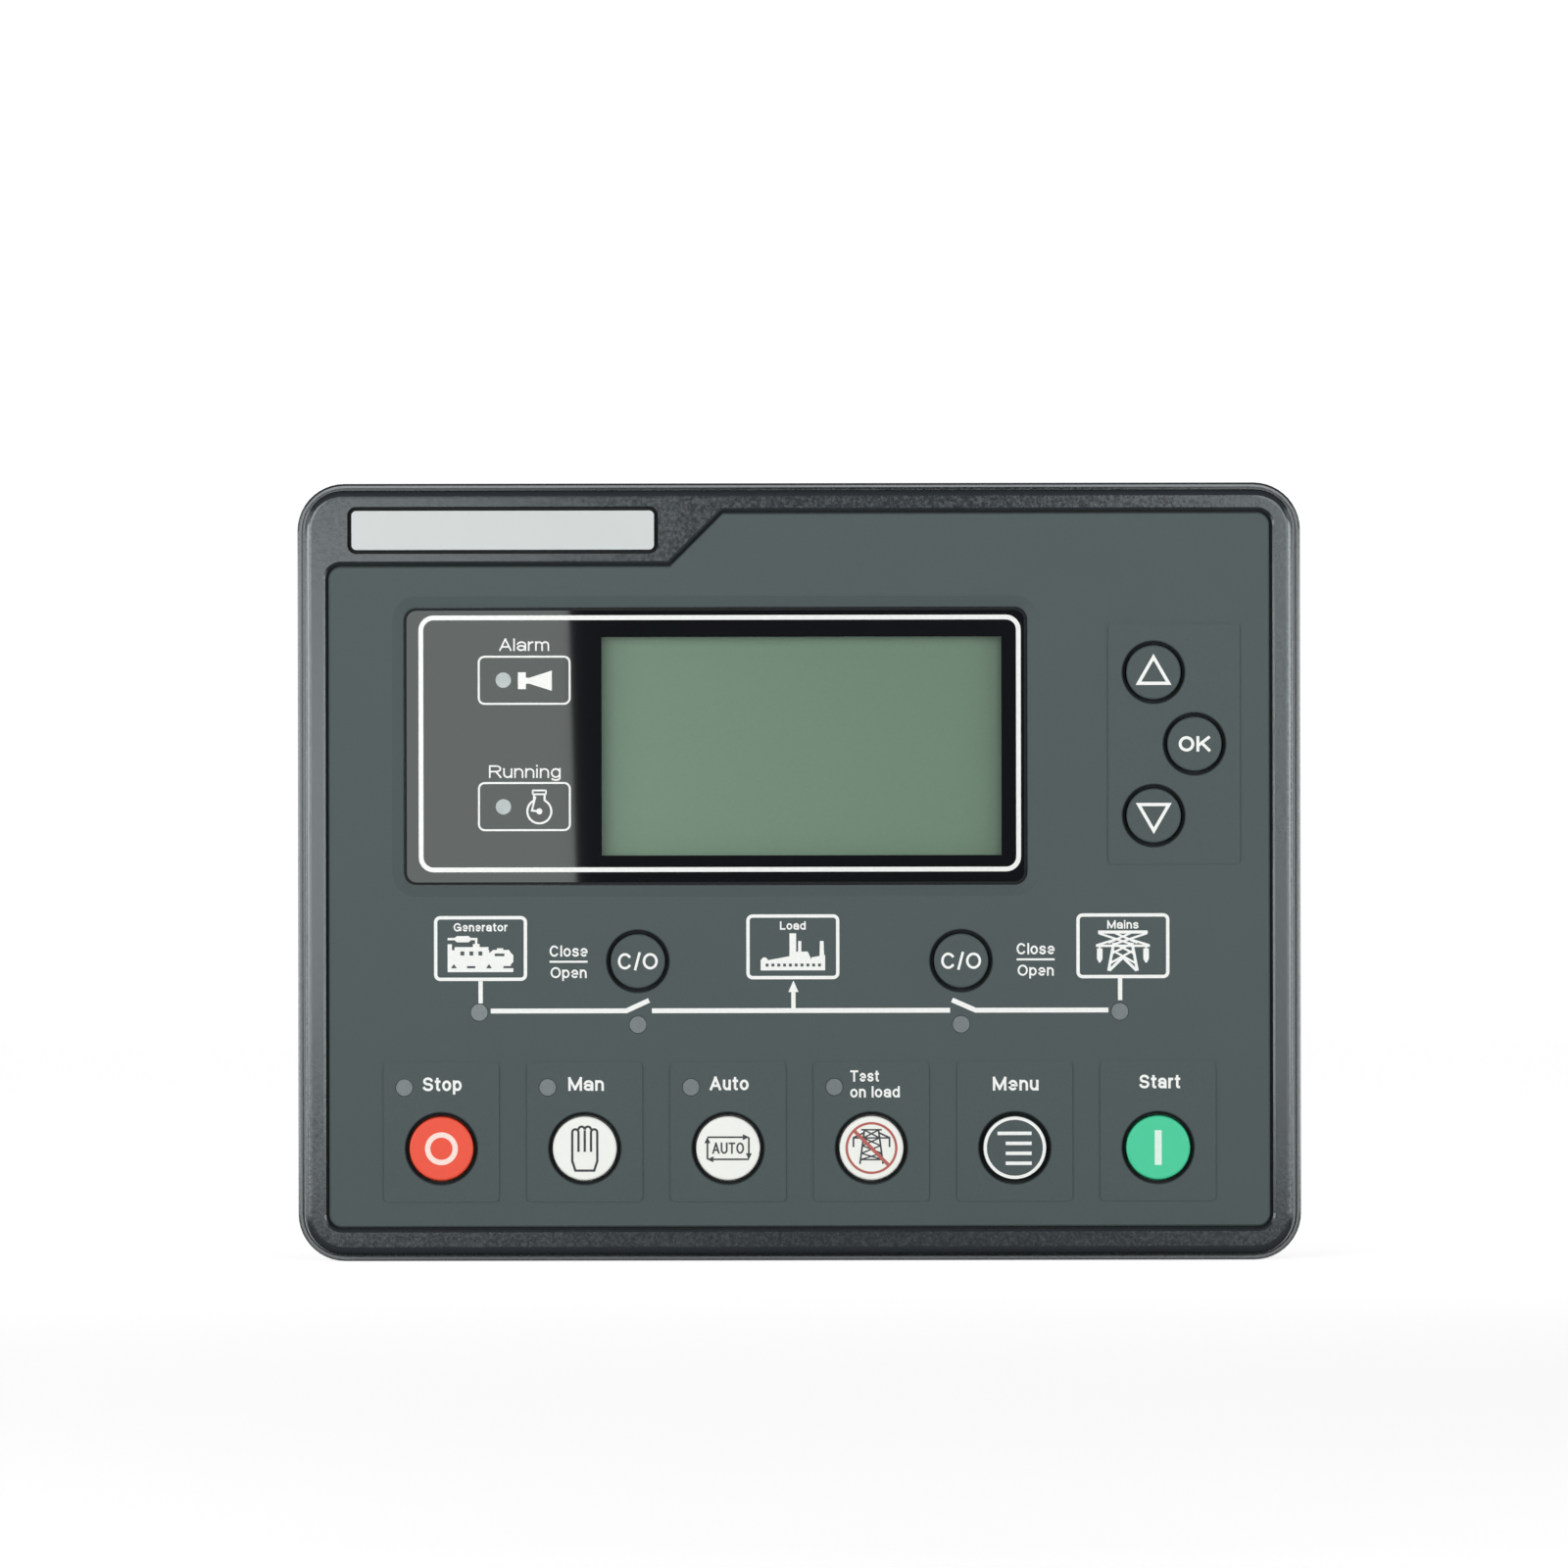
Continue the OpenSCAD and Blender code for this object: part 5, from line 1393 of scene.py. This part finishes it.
@dataclass
class Studio:
    """The pale floor, the soft light and the camera.

    Attributes:
        floor_z: Level of the floor under the part.
        bend: Radius of the floor's curve up into the backdrop.
        floor_y: Front edge of the floor, and the backdrop.
        floor_half: Half the width of the floor.
        backdrop_top: Height of the backdrop above the floor.
        camera: Place of the camera.
        view_w: Width of the view at the part's face.
        sensor: Width of the camera's sensor.
        roll: Turn of the camera about its line of sight, in degrees.
        sky: Strength of the even light from all round.
        left_radiance: Brightness of the left softbox low down beside the camera, where the screen mirrors it.
        left_high: Brightness of that softbox above there, which the frame's top left corner mirrors.
        left_outer: Brightness of the rest of it, further out.
        right_radiance: Brightness of the softbox right of the camera.
        side_radiance: Brightness of the panels that stand at an angle on either side.
        strip_radiance: Brightness of the strips level with the face, which its inner chamfer mirrors.
    """

    floor_z: float = -81.0
    bend: float = 700.0
    floor_y: Point = (-3200.0, 2600.0)
    floor_half: float = 3500.0
    backdrop_top: float = 2600.0
    camera: Place = (-3.15, -2400.0, 18.3)
    view_w: float = 326.0
    sensor: float = 36.0
    roll: float = 0.1
    sky: float = 0.1
    left_radiance: float = 3.5
    left_high: float = 1.5
    left_outer: float = 4.2
    right_radiance: float = 3.1
    side_radiance: float = 5.8
    strip_radiance: float = 4.0

    def build(self) -> None:
        """Makes the floor, the lights, the cards and the camera."""
        self.build_floor()
        self.build_sky()
        self.build_lights()
        self.build_cards()
        self.build_camera()

    def build_floor(self) -> None:
        """Makes a floor that curves up into a backdrop: one profile of y and z carried along X."""
        front, back = self.floor_y
        curve = arc((back - self.bend, self.bend), self.bend, -90.0, 0.0, 16)
        profile = np.vstack([[front, 0.0], curve, [back, self.backdrop_top]])
        across = np.linspace(-self.floor_half, self.floor_half, 8)
        grid = np.empty((len(across), len(profile), 3))
        grid[..., 0] = across[:, None]
        grid[..., 1] = profile[None, :, 0]
        grid[..., 2] = profile[None, :, 1] + self.floor_z
        quads = quads_of(np.arange(grid[..., 0].size).reshape(grid.shape[:2]))
        floor = add_mesh("studio_floor", grid.reshape(-1, 3), quads.tolist())
        floor.data.shade_smooth()
        PAPER.dress(floor)
        LOG.info("studio_floor: %d quads", len(quads))

    def build_sky(self) -> None:
        """Makes an even light from all round, which the camera sees as white."""
        world = bpy.data.worlds.new("studio_sky")
        world.use_nodes = True
        tree = world.node_tree
        tree.nodes.clear()
        white = to_linear("#ffffff")
        even = add_node(tree, "Background", {"Color": white, "Strength": self.sky})
        full = add_node(tree, "Background", {"Color": white, "Strength": 1.0})
        both = add_node(tree, "MixShader", {0: seen(tree), 1: even, 2: full})
        add_node(tree, "OutputWorld", {"Surface": both})
        bpy.context.scene.world = world

    def area_light(self, name: str, middle: Place, turn: Matrix, size: Point, glow: float) -> None:
        """Adds a soft light of a given brightness.

        Args:
            name: Its name.
            middle: Its middle in millimetres.
            turn: Its rotation.
            size: Its width and height in millimetres.
            glow: Its radiance; the lamp's power is that times pi and its area.
        """
        lamp = bpy.data.lights.new(name, "AREA")
        lamp.shape = "RECTANGLE"
        lamp.size, lamp.size_y = size[0] * MM, size[1] * MM
        lamp.energy = glow * math.pi * size[0] * size[1] * MM * MM
        light = add_object(name, lamp)
        light.matrix_world = Matrix.Translation(Vector(middle) * MM) @ turn.to_4x4()
        light.visible_camera = False

    def build_lights(self) -> None:
        """Hangs two softboxes, and a panel and a strip on either side.

        The screen mirrors the left softbox's inner edge, and the frame's sides mirror both softboxes.
        """
        facing = Matrix.Rotation(math.radians(90.0), 3, "X")
        lean = Matrix.Rotation(math.radians(-1.5), 3, "Y")
        high, far, rise = 760.0, -1200.0, 300.0
        self.area_light("softbox_right", (385.0, far, rise), facing, (500.0, high), self.right_radiance)
        # The left one has three fields, each given by its middle and its size within the softbox
        for name, place, size, glow in (
            ("softbox_left_low", (308.5, -300.0), (283.0, 160.0), self.left_radiance),
            ("softbox_left_high", (308.5, 80.0), (283.0, 600.0), self.left_high),
            ("softbox_left_outer", (-141.5, 0.0), (617.0, high), self.left_outer),
        ):
            middle = Vector((-526.3, far, rise)) + lean @ Vector((place[0], 0.0, place[1]))
            self.area_light(name, tuple(middle), lean @ facing, size, glow)
        # The panels and strips stand at an angle to the line of sight, a distance away and at a height
        for name, angle, away, level, size, glow in (
            ("panel_left", -54.0, 1500.0, 110.0, (800.0, 380.0), self.side_radiance),
            ("panel_right", 50.0, 1500.0, 110.0, (1000.0, 380.0), self.side_radiance),
            ("strip_left", -90.0, 420.0, 0.0, (100.0, 150.0), self.strip_radiance),
            ("strip_right", 90.0, 420.0, 0.0, (100.0, 150.0), self.strip_radiance),
        ):
            turn = math.radians(angle)
            middle = (away * math.sin(turn), -away * math.cos(turn), level)
            self.area_light(name, middle, Matrix.Rotation(turn, 3, "Z") @ facing, size, glow)

    def build_cards(self) -> None:
        """Hangs black cards in front, below and above, which only reflections show."""
        wide, back, near, rear, top, floor = 1500.0, -1400.0, -4.0, 2400.0, 900.0, self.floor_z + 0.5
        # The card below is wide beside the part and narrows away from it, so that the frame's ends stay light
        edge = ((55.0, back), (55.0, -600.0), (120.0, -170.0), (150.0, -90.0), (150.0, near))
        edge += ((-150.0, near), (-150.0, -90.0), (-110.0, -170.0), (-20.0, -600.0), (-20.0, back))
        for name, corners in (
            ("front", ((-wide, back, floor), (wide, back, floor), (wide, back, wide), (-wide, back, wide))),
            ("below", tuple((x, y, floor) for x, y in edge)),
            ("above", ((-wide, back, top), (wide, back, top), (wide, rear, top), (-wide, rear, top))),
        ):
            card = add_mesh(f"dark_card_{name}", np.array(corners), [list(range(len(corners)))])
            FELT.dress(card)
            card.visible_camera = False
            card.visible_diffuse = False
            card.visible_shadow = False
            card.visible_transmission = False

    def build_camera(self) -> None:
        """Sets up the camera square to the face; its focal length gives the view's width at the face."""
        data = bpy.data.cameras.new("camera")
        data.sensor_width = self.sensor
        data.lens = self.sensor * (-FACE - self.camera[1]) / self.view_w
        data.clip_start, data.clip_end = 0.01, 20.0
        camera = add_object("camera", data)
        turn = Matrix.Rotation(math.radians(self.roll), 4, "Y") @ Matrix.Rotation(math.radians(90.0), 4, "X")
        camera.matrix_world = Matrix.Translation(Vector(self.camera) * MM) @ turn
        bpy.context.scene.camera = camera


def main() -> None:
    """Builds the studio, dresses the solids and prints every legend."""
    logging.basicConfig(level=logging.INFO, format="%(name)s: %(message)s")
    bpy.context.scene.view_settings.view_transform = "Standard"
    Studio().build()
    Casework().dress()
    ShadowGaps().build()
    ScreenWindow().build()
    MimicDiagram().build()
    KeyLegends().build()
    RearSide().build()


if __name__ == "__main__":
    main()
